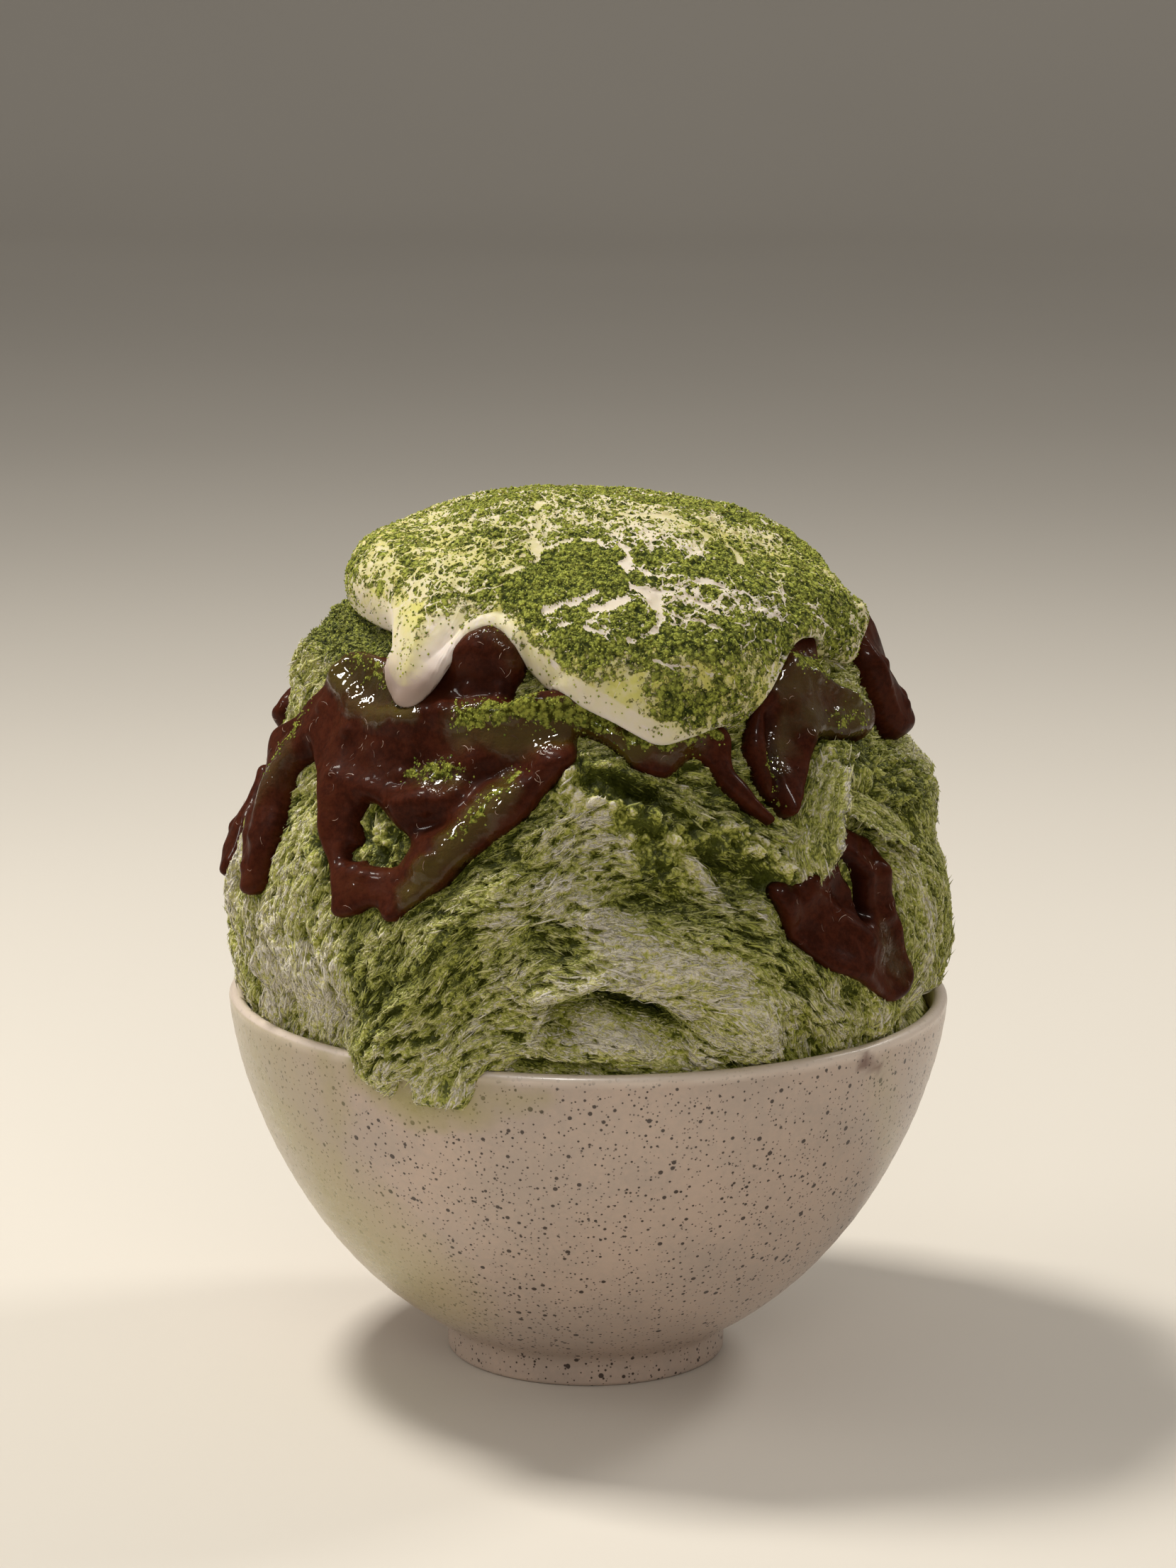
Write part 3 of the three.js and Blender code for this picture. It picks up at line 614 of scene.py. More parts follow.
def place_path(path):
    """A path of (azimuth, height[, half width]) as points of the smooth mound."""
    steps = np.array([(*step, 0.0)[:3] for step in path], float)
    radius = curve_through(MOUND_OUTLINE[:, 1], MOUND_OUTLINE[:, 0], steps[:, 1])
    points = around(np.radians(steps[:, 0]), radius, steps[:, 1] - MOUND_CENTRE)
    return np.column_stack([points, steps[:, 2]])


def folds_at(points, folds, place=place_path):
    """What a set of folds adds at each point: each is highest on its path and fades to its reach."""
    total = np.zeros(len(points))
    for path, reach, amount in folds:
        away = np.clip(away_from(points, place(path)) / reach, 0.0, 1.0)
        total += amount * (1 - away * away) ** 2
    return total


def ice_distance(directions):
    """Distance to the surface of the ice, with its lumps and folds but without its fine relief."""
    points = mound_points(directions)
    above_rim = smoothstep(RIM_HEIGHT + 1, RIM_HEIGHT + 9, points[:, 2] + MOUND_CENTRE)
    lumps = LUMP_HEIGHT * swelling(points, LUMP_SPACING, 1)
    lumps += TUFT_HEIGHT * swelling(points, TUFT_SPACING, 2)
    return mound_distance(directions) + above_rim * lumps + folds_at(points, ICE_FOLDS)


def paste_outline(directions, runs, bare):
    """How far each direction is outside a piece of paste; below zero is inside it."""
    points = mound_points(directions)
    outline = None
    for run in runs:
        away = away_from(points, place_path(run))
        outline = away if outline is None else blended_min(outline, away, PASTE_BLEND)
    outline = outline + 0.5 * swelling(points, 11, 3)
    for run in bare:
        outline = np.maximum(outline, -away_from(points, place_path(run)))
    return outline


def all_paste(directions):
    """The thickness of paste over every direction, whichever piece it belongs to, and its outline."""
    thickest = np.zeros(len(directions))
    outline = np.full(len(directions), np.inf)
    for thickness, runs, bare in PASTE_PIECES.values():
        here = paste_outline(directions, runs, bare)
        thickest = np.maximum(thickest, domed(here, thickness, PASTE_EDGE))
        outline = np.minimum(outline, here)
    return thickest, outline


@lru_cache(maxsize=None)
def hem_line():
    """The cream's hem as azimuths from -180 to 180 degrees, heights, and points of the smooth mound."""
    azimuth, height = np.array(CREAM_HEM, float).T
    azimuth = np.concatenate([azimuth - 360, azimuth, azimuth + 360])
    turns = np.linspace(-180, 180, 361)
    heights = curve_through(azimuth, np.tile(height, 3), turns)
    return turns, heights, place_path(np.column_stack([turns, heights]))


def cream_outline(directions):
    """How far each direction is outside the cream; below zero is under it."""
    points = mound_points(directions)
    turns, heights, line = hem_line()
    below = points[:, 2] + MOUND_CENTRE < np.interp(np.degrees(azimuths(points)), turns, heights)
    away = np.full(len(points), np.inf)
    for first in range(0, len(line), 30):
        away = np.minimum(away, squared_gaps(points, line[first : first + 31, :3]).min(axis=1))
    away = np.sqrt(np.maximum(away, 0.0))
    return np.where(below, away, -away)


def direction_of(azimuth, angle_from_up):
    """Unit vectors from azimuths and angles down from straight up, in radians."""
    return around(azimuth, np.sin(angle_from_up), np.cos(angle_from_up))


# ---- Meshes -------------------------------------------------------------------------------------


def make_mesh(name, points, faces, attributes=None, smooth=True):
    """An object from points in millimetres, faces of one size, and attributes for its vertices."""
    mesh = bpy.data.meshes.new(name)
    faces = np.ascontiguousarray(faces, dtype=np.int32)
    mesh.vertices.add(len(points))
    mesh.vertices.foreach_set("co", (np.asarray(points, np.float32) * np.float32(MM)).ravel())
    mesh.loops.add(faces.size)
    mesh.loops.foreach_set("vertex_index", faces.ravel())
    mesh.polygons.add(len(faces))
    mesh.polygons.foreach_set("loop_start", np.arange(0, faces.size, faces.shape[1], dtype=np.int32))
    mesh.update(calc_edges=True)
    mesh.shade_smooth()
    if not smooth:
        mesh.shade_flat()
    for key, values in (attributes or {}).items():
        vector = values.ndim == 2
        layer = mesh.attributes.new(key, "FLOAT_VECTOR" if vector else "FLOAT", "POINT")
        layer.data.foreach_set("vector" if vector else "value", values.astype(np.float32).ravel())
    obj = bpy.data.objects.new(name, mesh)
    bpy.context.collection.objects.link(obj)
    return obj


def lathe_faces(rows, columns):
    """The triangles between the rings of a turned form, and those that close its two poles.

    The vertices are the first pole, then rows rings of columns vertices, then the last pole.
    """
    ring = np.arange(columns)
    after = (ring + 1) % columns
    quads = []
    for row in range(rows - 1):
        low, high = 1 + row * columns, 1 + (row + 1) * columns
        quads.append(np.stack([low + ring, high + ring, high + after, low + after], axis=1))
    first = 1 + np.stack([ring, after], axis=1)
    last = 1 + (rows - 1) * columns + np.stack([after, ring], axis=1)
    top = np.hstack([np.zeros((columns, 1), int), first])
    bottom = np.hstack([np.full((columns, 1), 1 + rows * columns), last])
    split = np.concatenate([np.concatenate([q[:, [0, 1, 2]], q[:, [0, 2, 3]]]) for q in quads])
    return np.concatenate([top, split, bottom])


def with_poles(first, rings, last):
    """Values for the first pole of a turned form, for its rings and for its last pole."""
    return np.concatenate([[first], rings, [last]])


def face_normals(points, faces):
    """The normals of triangles, each as long as twice its triangle's area."""
    corner = points[faces]
    return np.cross(corner[:, 1] - corner[:, 0], corner[:, 2] - corner[:, 0])


def vertex_normals(points, faces):
    normals = face_normals(points, faces)
    total = np.zeros_like(points)
    for k in range(3):
        np.add.at(total, faces[:, k], normals)
    return total / np.maximum(np.linalg.norm(total, axis=1, keepdims=True), 1e-12)


def dress(obj, material, slot, *nodes):
    """Gives a piece its material and says what it rides on and stands for. The slot is not used."""
    obj.data.materials.clear()
    obj.data.materials.append(material)
    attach(obj, "root")
    if nodes:
        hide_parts(*nodes)


# ---- Node trees ---------------------------------------------------------------------------------


def feed(tree, socket, value):
    """Links an input to another node's output, or sets it to a value."""
    if isinstance(value, bpy.types.NodeSocket):
        tree.links.new(value, socket)
    else:
        socket.default_value = value


def add(tree, kind, values=None, **options):
    """A node with its options, and its inputs set to values or linked to other nodes' outputs."""
    node = tree.nodes.new(kind)
    for key, value in options.items():
        setattr(node, key, value)
    for socket, value in (values or {}).items():
        feed(tree, node.inputs[socket], value)
    return node


def maths(tree, operation, *values):
    return add(tree, "ShaderNodeMath", dict(enumerate(values)), operation=operation).outputs[0]


def mixed(tree, share, *colours):
    """One colour fading to another."""
    first, second = [c if isinstance(c, bpy.types.NodeSocket) else (*c, 1.0) for c in colours]
    return add(tree, "ShaderNodeMix", {0: share, 6: first, 7: second}, data_type="RGBA").outputs[2]


def tinted(colour, factors):
    """A colour with its parts multiplied by one factor, or by one each."""
    return (np.array(colour) * factors).tolist()


def ranged(tree, value, low, high, to_low=0.0, to_high=1.0):
    """A value mapped from one range to another, with soft ends."""
    values = {"Value": value, "From Min": low, "From Max": high, "To Min": to_low, "To Max": to_high}
    return add(tree, "ShaderNodeMapRange", values, interpolation_type="SMOOTHSTEP").outputs[0]


def attribute(tree, name):
    return add(tree, "ShaderNodeAttribute", attribute_name=name).outputs["Fac"]


def object_position(tree):
    return add(tree, "ShaderNodeTexCoord").outputs["Object"]


def noise_texture(tree, position, spacing, detail=3.0, rough=0.6):
    """Noise whose bumps are the spacing apart, in millimetres."""
    values = {"Vector": position, "Scale": 1 / (spacing * MM), "Detail": detail, "Roughness": rough}
    return add(tree, "ShaderNodeTexNoise", values).outputs["Fac"]


def vector_maths(tree, operation, *values, **named):
    sockets = {**dict(enumerate(values)), **named}
    return add(tree, "ShaderNodeVectorMath", sockets, operation=operation).outputs[0]


def wandering(tree, position, spacing, reach, detail=2.0):
    """A position moved about by noise, whose spacing and reach are in millimetres."""
    values = {"Vector": position, "Scale": 1 / (spacing * MM), "Detail": detail}
    shift = add(tree, "ShaderNodeTexNoise", values).outputs["Color"]
    return vector_maths(tree, "ADD", position, vector_maths(tree, "SCALE", shift, Scale=reach * MM))


def cells(tree, position, spacing, feature="F1"):
    """The outputs of a field of scattered cells, about the spacing apart in millimetres."""
    values = {"Vector": position, "Scale": 1 / (spacing * MM)}
    return add(tree, "ShaderNodeTexVoronoi", values, feature=feature).outputs


def new_tree(name, kind, inputs, outputs):
    """An empty node tree with named inputs and outputs, and the sockets that they are inside it."""
    tree = bpy.data.node_groups.new(name, kind)
    for way, sockets in (("INPUT", inputs), ("OUTPUT", outputs)):
        for key, sort in sockets.items():
            tree.interface.new_socket(key, in_out=way, socket_type=f"NodeSocket{sort}")
    return tree, tree.nodes.new("NodeGroupInput").outputs, tree.nodes.new("NodeGroupOutput").inputs


def use_group(tree, group, values):
    return add(tree, "ShaderNodeGroup", values, node_tree=group).outputs


def new_material(name, **surface):
    """A material with one Principled BSDF, whose constant sockets are set from the names given."""
    material = bpy.data.materials.new(name)
    material.use_nodes = True
    tree = material.node_tree
    shader = tree.nodes["Principled BSDF"]
    for key, value in surface.items():
        shader.inputs[key.replace("_", " ").title().replace("Ior", "IOR")].default_value = value
    return material, tree, shader.inputs


def finish(tree, surface, colour, normal=None, roughness=None):
    """Links what changes over a surface to its shader."""
    for key, output in (("Base Color", colour), ("Normal", normal), ("Roughness", roughness)):
        if output:
            tree.links.new(output, surface[key])


def bumped(tree, height, distance, strength=1.0):
    """The normal of a surface with a height in it, its distance in millimetres."""
    values = {"Height": height, "Distance": distance * MM, "Strength": strength}
    return add(tree, "ShaderNodeBump", values).outputs["Normal"]


# The powder's noise: spacings in millimetres of its clumps, its grain and its clods, and the spacing and
# reach of what bends the clods.
POWDER_CLUMPS = 1.7
POWDER_GRAIN = 0.55
POWDER_CLODS = 0.95
CLOD_BENDS = (1.1, 1.3)


@lru_cache(maxsize=None)
def powder_group():
    """Green tea powder: how it breaks up where it lies thin, its colour, darker between its clods as
    painted shade, and its grainy height.
    """
    inputs = {"Position": "Vector", "Cover": "Float", "Dark": "Color", "Light": "Color"}
    outputs = {"Mask": "Float", "Colour": "Color", "Height": "Float"}
    group, given, result = new_tree("tea_powder", "ShaderNodeTree", inputs, outputs)
    position = given["Position"]
    clump = noise_texture(group, position, POWDER_CLUMPS, 4.0)
    grain = noise_texture(group, position, POWDER_GRAIN, 2.0)
    broken = maths(group, "MULTIPLY_ADD", clump, 1.4, maths(group, "MULTIPLY", grain, 0.45))
    level = maths(group, "ADD", maths(group, "SUBTRACT", broken, 0.92), given["Cover"])
    mask = ranged(group, level, 0.42, 0.56)
    # The colour darkens in the gaps between clods, where the height drops: painted shade.
    clod = cells(group, wandering(group, position, *CLOD_BENDS), POWDER_CLODS)["Distance"]
    mound = maths(group, "SUBTRACT", 0.85, clod)
    uneven = maths(group, "MULTIPLY", maths(group, "ADD", grain, clump), 0.7)
    shade = ranged(group, maths(group, "MULTIPLY_ADD", mound, 0.7, uneven), 0.68, 1.18)
    group.links.new(mask, result["Mask"])
    group.links.new(mixed(group, shade, given["Dark"], given["Light"]), result["Colour"])
    group.links.new(maths(group, "MULTIPLY", mask, maths(group, "ADD", shade, 0.6)), result["Height"])
    return group


def powder(tree, position, cover):
    """The powder group with the dessert's own powder colours."""
    cream = settings().cream
    colours = {"Dark": (*cream.powder_dark, 1), "Light": (*cream.powder_light, 1)}
    return use_group(tree, powder_group(), {"Position": position, "Cover": cover, **colours})


# ---- Bowl ---------------------------------------------------------------------------------------


def belly_radius(height):
    drop = (RIM_HEIGHT - height) / RIM_HEIGHT
    return RIM_RADIUS * (1 - drop**BELLY_STEEPNESS) ** (1 / BELLY_FULLNESS)


def wall_at(height):
    return FLOOR_WALL + (RIM_WALL - FLOOR_WALL) * (height - FLOOR_HEIGHT) / (RIM_HEIGHT - FLOOR_HEIGHT)


def inner_radius(height):
    return belly_radius(height) - wall_at(height)


def arc(centre, radii, start, end, steps):
    """Points of an elliptical arc, its angles in degrees."""
    turns = np.radians(np.linspace(start, end, steps))
    return [(centre[0] + radii[0] * math.cos(t), centre[1] + radii[1] * math.sin(t)) for t in turns]


def bowl_profile():
    """The bowl's section from the middle of its underside, round the rim, to the middle of its floor."""
    inside_foot = FOOT_RADIUS - FOOT_RING_WIDTH
    round_off = 0.9
    shoulder = RIM_HEIGHT - RIM_WALL / 2
    lip = belly_radius(shoulder) - RIM_WALL / 2
    belly, well = FOOT_HEIGHT + 2.2, FLOOR_HEIGHT + 2
    outer = [(belly_radius(z), z) for z in belly + (shoulder - belly) * np.linspace(0, 1, 64) ** 1.1]
    inner = [(inner_radius(z), z) for z in well + (shoulder - well) * np.linspace(1, 0, 44)]
    side, low = inner[-1]
    floor = [(side * t, FLOOR_HEIGHT + (low - FLOOR_HEIGHT) * t**2) for t in (0.8, 0.6, 0.4, 0.2)]
    return [
        (inside_foot * 0.5, FOOT_RECESS),
        *arc((inside_foot - 1.2, FOOT_RECESS - 1.2), (1.2, 1.2), 90, 0, 5),
        *arc((inside_foot + round_off, round_off), (round_off, round_off), 180, 270, 6),
        *arc((FOOT_RADIUS - round_off, round_off), (round_off, round_off), 270, 360, 6),
        (FOOT_RADIUS, FOOT_HEIGHT - 2),
        (FOOT_RADIUS - 0.15, FOOT_HEIGHT - 0.6),
        (FOOT_RADIUS + 0.35, FOOT_HEIGHT + 0.5),
        (FOOT_RADIUS + 1.6, FOOT_HEIGHT + 1.35),
        *outer,
        *arc((lip, shoulder), (RIM_WALL / 2, RIM_WALL / 2), 0, 180, 12)[1:-1],
        *inner,
        *floor,
    ]


# Syrup that ran down the outside of the bowl, and painted shade low on its left: path as (azimuth, height),
# reach and amount.
BOWL_STAINS_AND_SHADE = (
    (((-44, 66), (-44, 55), (-49, 41), (-56, 32)), 5.5, 0.6),
    (((-50, 62), (-52, 50)), 4, 0.35),
    # Broad patch low on the left: painted green-tinted shade, not syrup.
    (((-66, 58), (-62, 40), (-52, 24)), 26, 0.85),
    (((-36, 66), (-27, 61), (-18, 62)), 6, 1.0),
    (((-17, 66), (-12, 63), (-7, 64)), 3.5, 0.75),
    (((52, 62), (60, 50), (68, 42)), 5, 0.3),
    (((130, 66), (128, 50), (126, 40)), 5, 0.5),
    (((-150, 66), (-152, 56)), 5, 0.5),
)
PASTE_SMEAR = (((47, 65.5), (51, 63.5)), 1.6, 1.0)
GLAZE_CLOUDS = 22.0
GLAZE_GRAIN = 1.2
# What the glaze's colour is multiplied by where it is warmer and where it is cooler.
WARM_GLAZE = (1.07, 1.02, 0.98)
COOL_GLAZE = (0.88, 0.87, 0.86)
STAIN_AND_SHADE_COLOUR = (0.34, 0.3, 0.1)
SMEAR_COLOUR = (0.12, 0.04, 0.02)
# Iron speckles, in three sets: their spacing as a share of the setting, their size as a share of that
# spacing, the share of places left empty, and how dark they are.
SPECKLES = ((0.6, 0.25, 0.4, 1.0), (0.4, 0.26, 0.5, 0.8), (1.15, 0.24, 0.55, 1.0))
BOWL_COLUMNS = 288
# Throwing rings: their height, the lowest band in which they start, and how close they are, in radians
# for each millimetre up the bowl, with a slow change of that.
RING_HEIGHT = 0.03
RING_START = (8, 16)
RING_TURNS = 1.9
RING_CHANGE = (0.8, 0.37)
WALL_UNEVENNESS = (0.06, 9.0, 5)
# The thin glaze at the rim: how strong it is, how far below the rim it starts and is full, and how wavy
# its line is.
RIM_STRENGTH = 0.85
RIM_BAND = (2.3, 0.9)
RIM_WAVES = (0.35, 5.0, 6)


def bowl_mask(points, marks):
    """How strongly each point of the bowl's outside is marked by a set of paths on it."""
    total = np.zeros(len(points))
    for path, reach, amount in marks:
        turns = np.radians([step[0] for step in path])
        heights = np.array([step[1] for step in path], float)
        radii = belly_radius(np.minimum(heights, RIM_HEIGHT - 0.5))
        placed = np.column_stack([around(turns, radii, heights), np.zeros(len(path))])
        away = np.clip(away_from(points, placed) / reach, 0.0, 1.0)
        total = np.maximum(total, amount * (1 - away) ** 0.7)
    return total


def glaze_material():
    look = settings().bowl
    material, tree, surface = new_material("stoneware_glaze", coat_weight=0.4, coat_roughness=0.2)
    position = object_position(tree)
    cloud = noise_texture(tree, position, GLAZE_CLOUDS)
    fine = noise_texture(tree, position, GLAZE_GRAIN)
    tone = maths(tree, "MULTIPLY_ADD", fine, 0.35, maths(tree, "MULTIPLY", cloud, 0.65))
    warm, cool = tinted(look.glaze, WARM_GLAZE), tinted(look.glaze, COOL_GLAZE)
    colour = mixed(tree, ranged(tree, tone, 0.35, 0.65), cool, warm)
    dark = 0.0
    for spacing, size, empty, strength in SPECKLES:
        shifted = vector_maths(tree, "ADD", position, (spacing * 0.3,) * 3)
        cell = cells(tree, shifted, look.speckle_spacing / MM * spacing)
        draw = add(tree, "ShaderNodeSeparateColor", {0: cell["Color"]}).outputs
        chosen = maths(tree, "GREATER_THAN", draw[0], empty)
        radius = maths(tree, "MULTIPLY_ADD", draw[1], size * 0.5, size * 0.6)
        radius = maths(tree, "MULTIPLY", chosen, radius)
        away = maths(tree, "MULTIPLY_ADD", fine, 0.1, cell["Distance"])
        spot = ranged(tree, maths(tree, "SUBTRACT", radius, away), -0.07, 0.0, 0.0, strength)
        dark = maths(tree, "MAXIMUM", dark, spot)
    colour = mixed(tree, maths(tree, "MULTIPLY", dark, 0.96), colour, look.speckle)
    colour = mixed(tree, attribute(tree, "rim"), colour, look.rim)
    # Stains of syrup, and painted shade on the bowl's left, in one mark.
    patchy = maths(tree, "MULTIPLY", attribute(tree, "stain_and_shade"), ranged(tree, cloud, 0.25, 0.6, 0.45, 1.0))
    colour = mixed(tree, patchy, colour, STAIN_AND_SHADE_COLOUR)
    colour = mixed(tree, attribute(tree, "smear"), colour, SMEAR_COLOUR)
    height = maths(tree, "MULTIPLY_ADD", dark, -0.5, maths(tree, "MULTIPLY", fine, 0.5))
    dull = ranged(tree, fine, 0.3, 0.7, 0.38, 0.52)
    dull = maths(tree, "SUBTRACT", dull, maths(tree, "MULTIPLY", patchy, 0.2))
    finish(tree, surface, colour, bumped(tree, height, 0.18, 0.6), dull)
    return material


class MakeBowl(bpy.types.Operator):
    """Turn the stoneware bowl on its axis, mark it with syrup that ran down and paint shade on its left"""

    bl_idname = "dessert.make_bowl"
    bl_label = "Bowl"

    def execute(self, context):
        profile = np.array(bowl_profile())
        turn = np.linspace(0, 2 * math.pi, BOWL_COLUMNS, endpoint=False)
        radius, height = np.repeat(profile, BOWL_COLUMNS, axis=0).T
        turns = np.tile(turn, len(profile))
        points = with_poles(UP * FOOT_RECESS, around(turns, radius, height), UP * FLOOR_HEIGHT)
        faces = lathe_faces(len(profile), BOWL_COLUMNS)[:, ::-1]
        z = points[:, 2]
        turned = z * RING_TURNS + RING_CHANGE[0] * np.sin(z * RING_CHANGE[1])
        throwing_rings = RING_HEIGHT * smoothstep(*RING_START, z) * np.sin(turned)
        uneven = noises(points, WALL_UNEVENNESS) * (z > 1.5)
        normals = vertex_normals(points, faces)
        points = points + normals * (throwing_rings + uneven)[:, None]
        outside = normals @ UP < 0.3
        wavy = points[:, 2] + noises(points, RIM_WAVES)
        over_rim = smoothstep(RIM_HEIGHT - RIM_BAND[0], RIM_HEIGHT - RIM_BAND[1], wavy)
        ragged = shaken(points, 1.6, 3.0, (11, 12, 13))
        marks = {
            "rim": RIM_STRENGTH * over_rim,
            # Syrup stains, and the painted shade on the left.
            "stain_and_shade": outside * bowl_mask(ragged, BOWL_STAINS_AND_SHADE),
            "smear": outside * bowl_mask(ragged, [PASTE_SMEAR]),
        }
        bowl = make_mesh("bowl_turned", points, faces, marks)
        dress(bowl, glaze_material(), "stoneware", "bowl")
        return {"FINISHED"}


# ---- Shaved ice ---------------------------------------------------------------------------------

ICE_SECTION = 350
ICE_COLUMNS = 3 * ICE_SECTION
ICE_ROWS = 268
ICE_TOP_ANGLE = math.radians(33)
ICE_LOW_ANGLE = math.radians(114)
# What the ice's looks are made from: its syrup with some painted shade, its holes darkened as wetness and
# painted shade, and its powder.
ICE_MARKS = ("syrup_and_shade", "pit_wet_and_shade", "cover")
ICE_COLOURS = ("Wet", "Green", "Pale", "White")
# The levels of syrup and depth between which each wetter colour takes over; depth darkens as painted shade.
ICE_STEPS = ((-0.25, 0.2, "Pale"), (0.1, 0.62, "Green"), (0.55, 1.15, "Wet"))
# Spacings in millimetres of what is finer than the mesh: its grain, its crumbs and their cells, and the
# spacing and reach of what bends the cells.
ICE_GRAIN = 0.4
ICE_CRUMBS = 0.45
ICE_CELLS = 0.8
CELL_BENDS = (1.1, 1.5)

# Relief drawn out along the grain: spacing and length in millimetres, and seed.
SHEETS = (6.0, 12, 34)
WEB = (2.0, 3.2, 31)
FELT = (1.15, 1.9, 32)
FIBRES = (0.8, 2.6, 30)
SYRUP_STREAKS = (3.0, 12, 41)
CURL_GROOVES = (1.2, 7, 85)
# Noise: spacing in millimetres, seed, how many octaves, and how much each finer one adds.
CRUMBS = (3.2, 33, 4, 0.65)
LUMPS = (6.0, 35, 3, 0.6)
SYRUP_CLOUDS = (10.0, 40, 4, 0.6)
# How the grain sways, as (angle in radians, spacing in millimetres, seed), and how softly one of its
# directions turns into the next, in square millimetres.
GRAIN_SWAY = ((0.5, 12.0, 21), (0.35, 4.5, 22))
GRAIN_BLEND = 20.0
# Clods of loose ice: spacing and height in millimetres, and how much they fill the holes; the gaps between
# them are darkened as painted shade.
CLODS = ((3.0, 5.5, 3.0), (1.7, 3.6, 2.2))
MIDDLING_SYRUP = 0.47
# Heights and depths in millimetres, and the gap between the ice and the inside of the bowl.
SHEET_RELIEF = 0.4
FIBRE_RELIEF = 0.2
LOOSE_RELIEF = 0.9
HOLE_DEPTH = 1.4
BOWL_GAP = 0.15


def under_ledges(points):
    """How far the ice is hollowed at each point of the mound by the lips over it."""
    turn = np.degrees(azimuths(points))
    total = np.zeros(len(points))
    for lip, depth, reach in LEDGES:
        turns, heights = np.array(lip, float).T
        drop = np.interp(turn, turns, heights) - points[:, 2] - MOUND_CENTRE
        within = smoothstep(turns[0], turns[0] + 4, turn) * smoothstep(turns[-1], turns[-1] - 4, turn)
        total += depth * within * smoothstep(-0.2, 0.9, drop) * (1 - smoothstep(0.4 * reach, reach, drop))
    return total


def grain_directions(points, normals):
    """Which way the shavings lie at each point of the ice."""
    turn = azimuths(points)
    anchors = place_path([(azimuth, height) for azimuth, height, _ in GRAIN])[:, :3]
    doubled = np.radians([2 * angle for *_, angle in GRAIN])
    weights = 1 / (squared_gaps(points, anchors) + GRAIN_BLEND) ** 2
    angle = 0.5 * np.arctan2(weights @ np.sin(doubled), weights @ np.cos(doubled))
    angle += noises(points, *GRAIN_SWAY)
    level = np.stack([np.cos(turn), np.sin(turn), np.zeros(len(turn))], axis=1)
    along = level * np.cos(angle)[:, None] + UP * np.sin(angle)[:, None]
    return unit(along - normals * np.einsum("ij,ij->i", along, normals)[:, None])


def streaks(points, along, spacing, length, seed):
    """Noise drawn out along the grain, with a spread of 1."""
    steps = np.linspace(-length / 2, length / 2, 9)
    total = sum(noise(points + step * along, spacing, seed) for step in steps)
    return total / total.std()


def pits(points, along, spacing, length, seed):
    """Holes in the felt of shavings, drawn out along the grain: 1 in the depth of one, 0 between them."""
    return smoothstep(0.35, 1.0, streaks(points, along, spacing, length, seed))


def inside_bowl(points):
    """Points of the ice below the rim, drawn in to the bowl's inner face unless they spill over it."""
    height = points[:, 2] + MOUND_CENTRE
    radius = np.hypot(points[:, 0], points[:, 1])
    limit = inner_radius(np.minimum(height, RIM_HEIGHT - 0.2)) - BOWL_GAP
    spills = smoothstep(RIM_RADIUS - 0.3, RIM_RADIUS + 0.4, radius) * smoothstep(59, 62, height)
    held = np.where(height < RIM_HEIGHT, np.minimum(radius, limit), radius)
    scale = (held + (radius - held) * spills) / np.maximum(radius, 1e-6)
    return points * np.stack([scale, scale, np.ones_like(scale)], axis=1)


def joined(surfaces):
    """Several surfaces as one, with the attributes that all of them have."""
    surfaces = list(surfaces)
    starts = np.cumsum([0] + [len(points) for points, _, _ in surfaces])
    points = np.concatenate([surface[0] for surface in surfaces])
    faces = np.concatenate([surface[1] + start for surface, start in zip(surfaces, starts)])
    shared = [key for key in surfaces[0][2] if all(key in surface[2] for surface in surfaces)]
    return points, faces, {key: np.concatenate([surface[2][key] for surface in surfaces]) for key in shared}


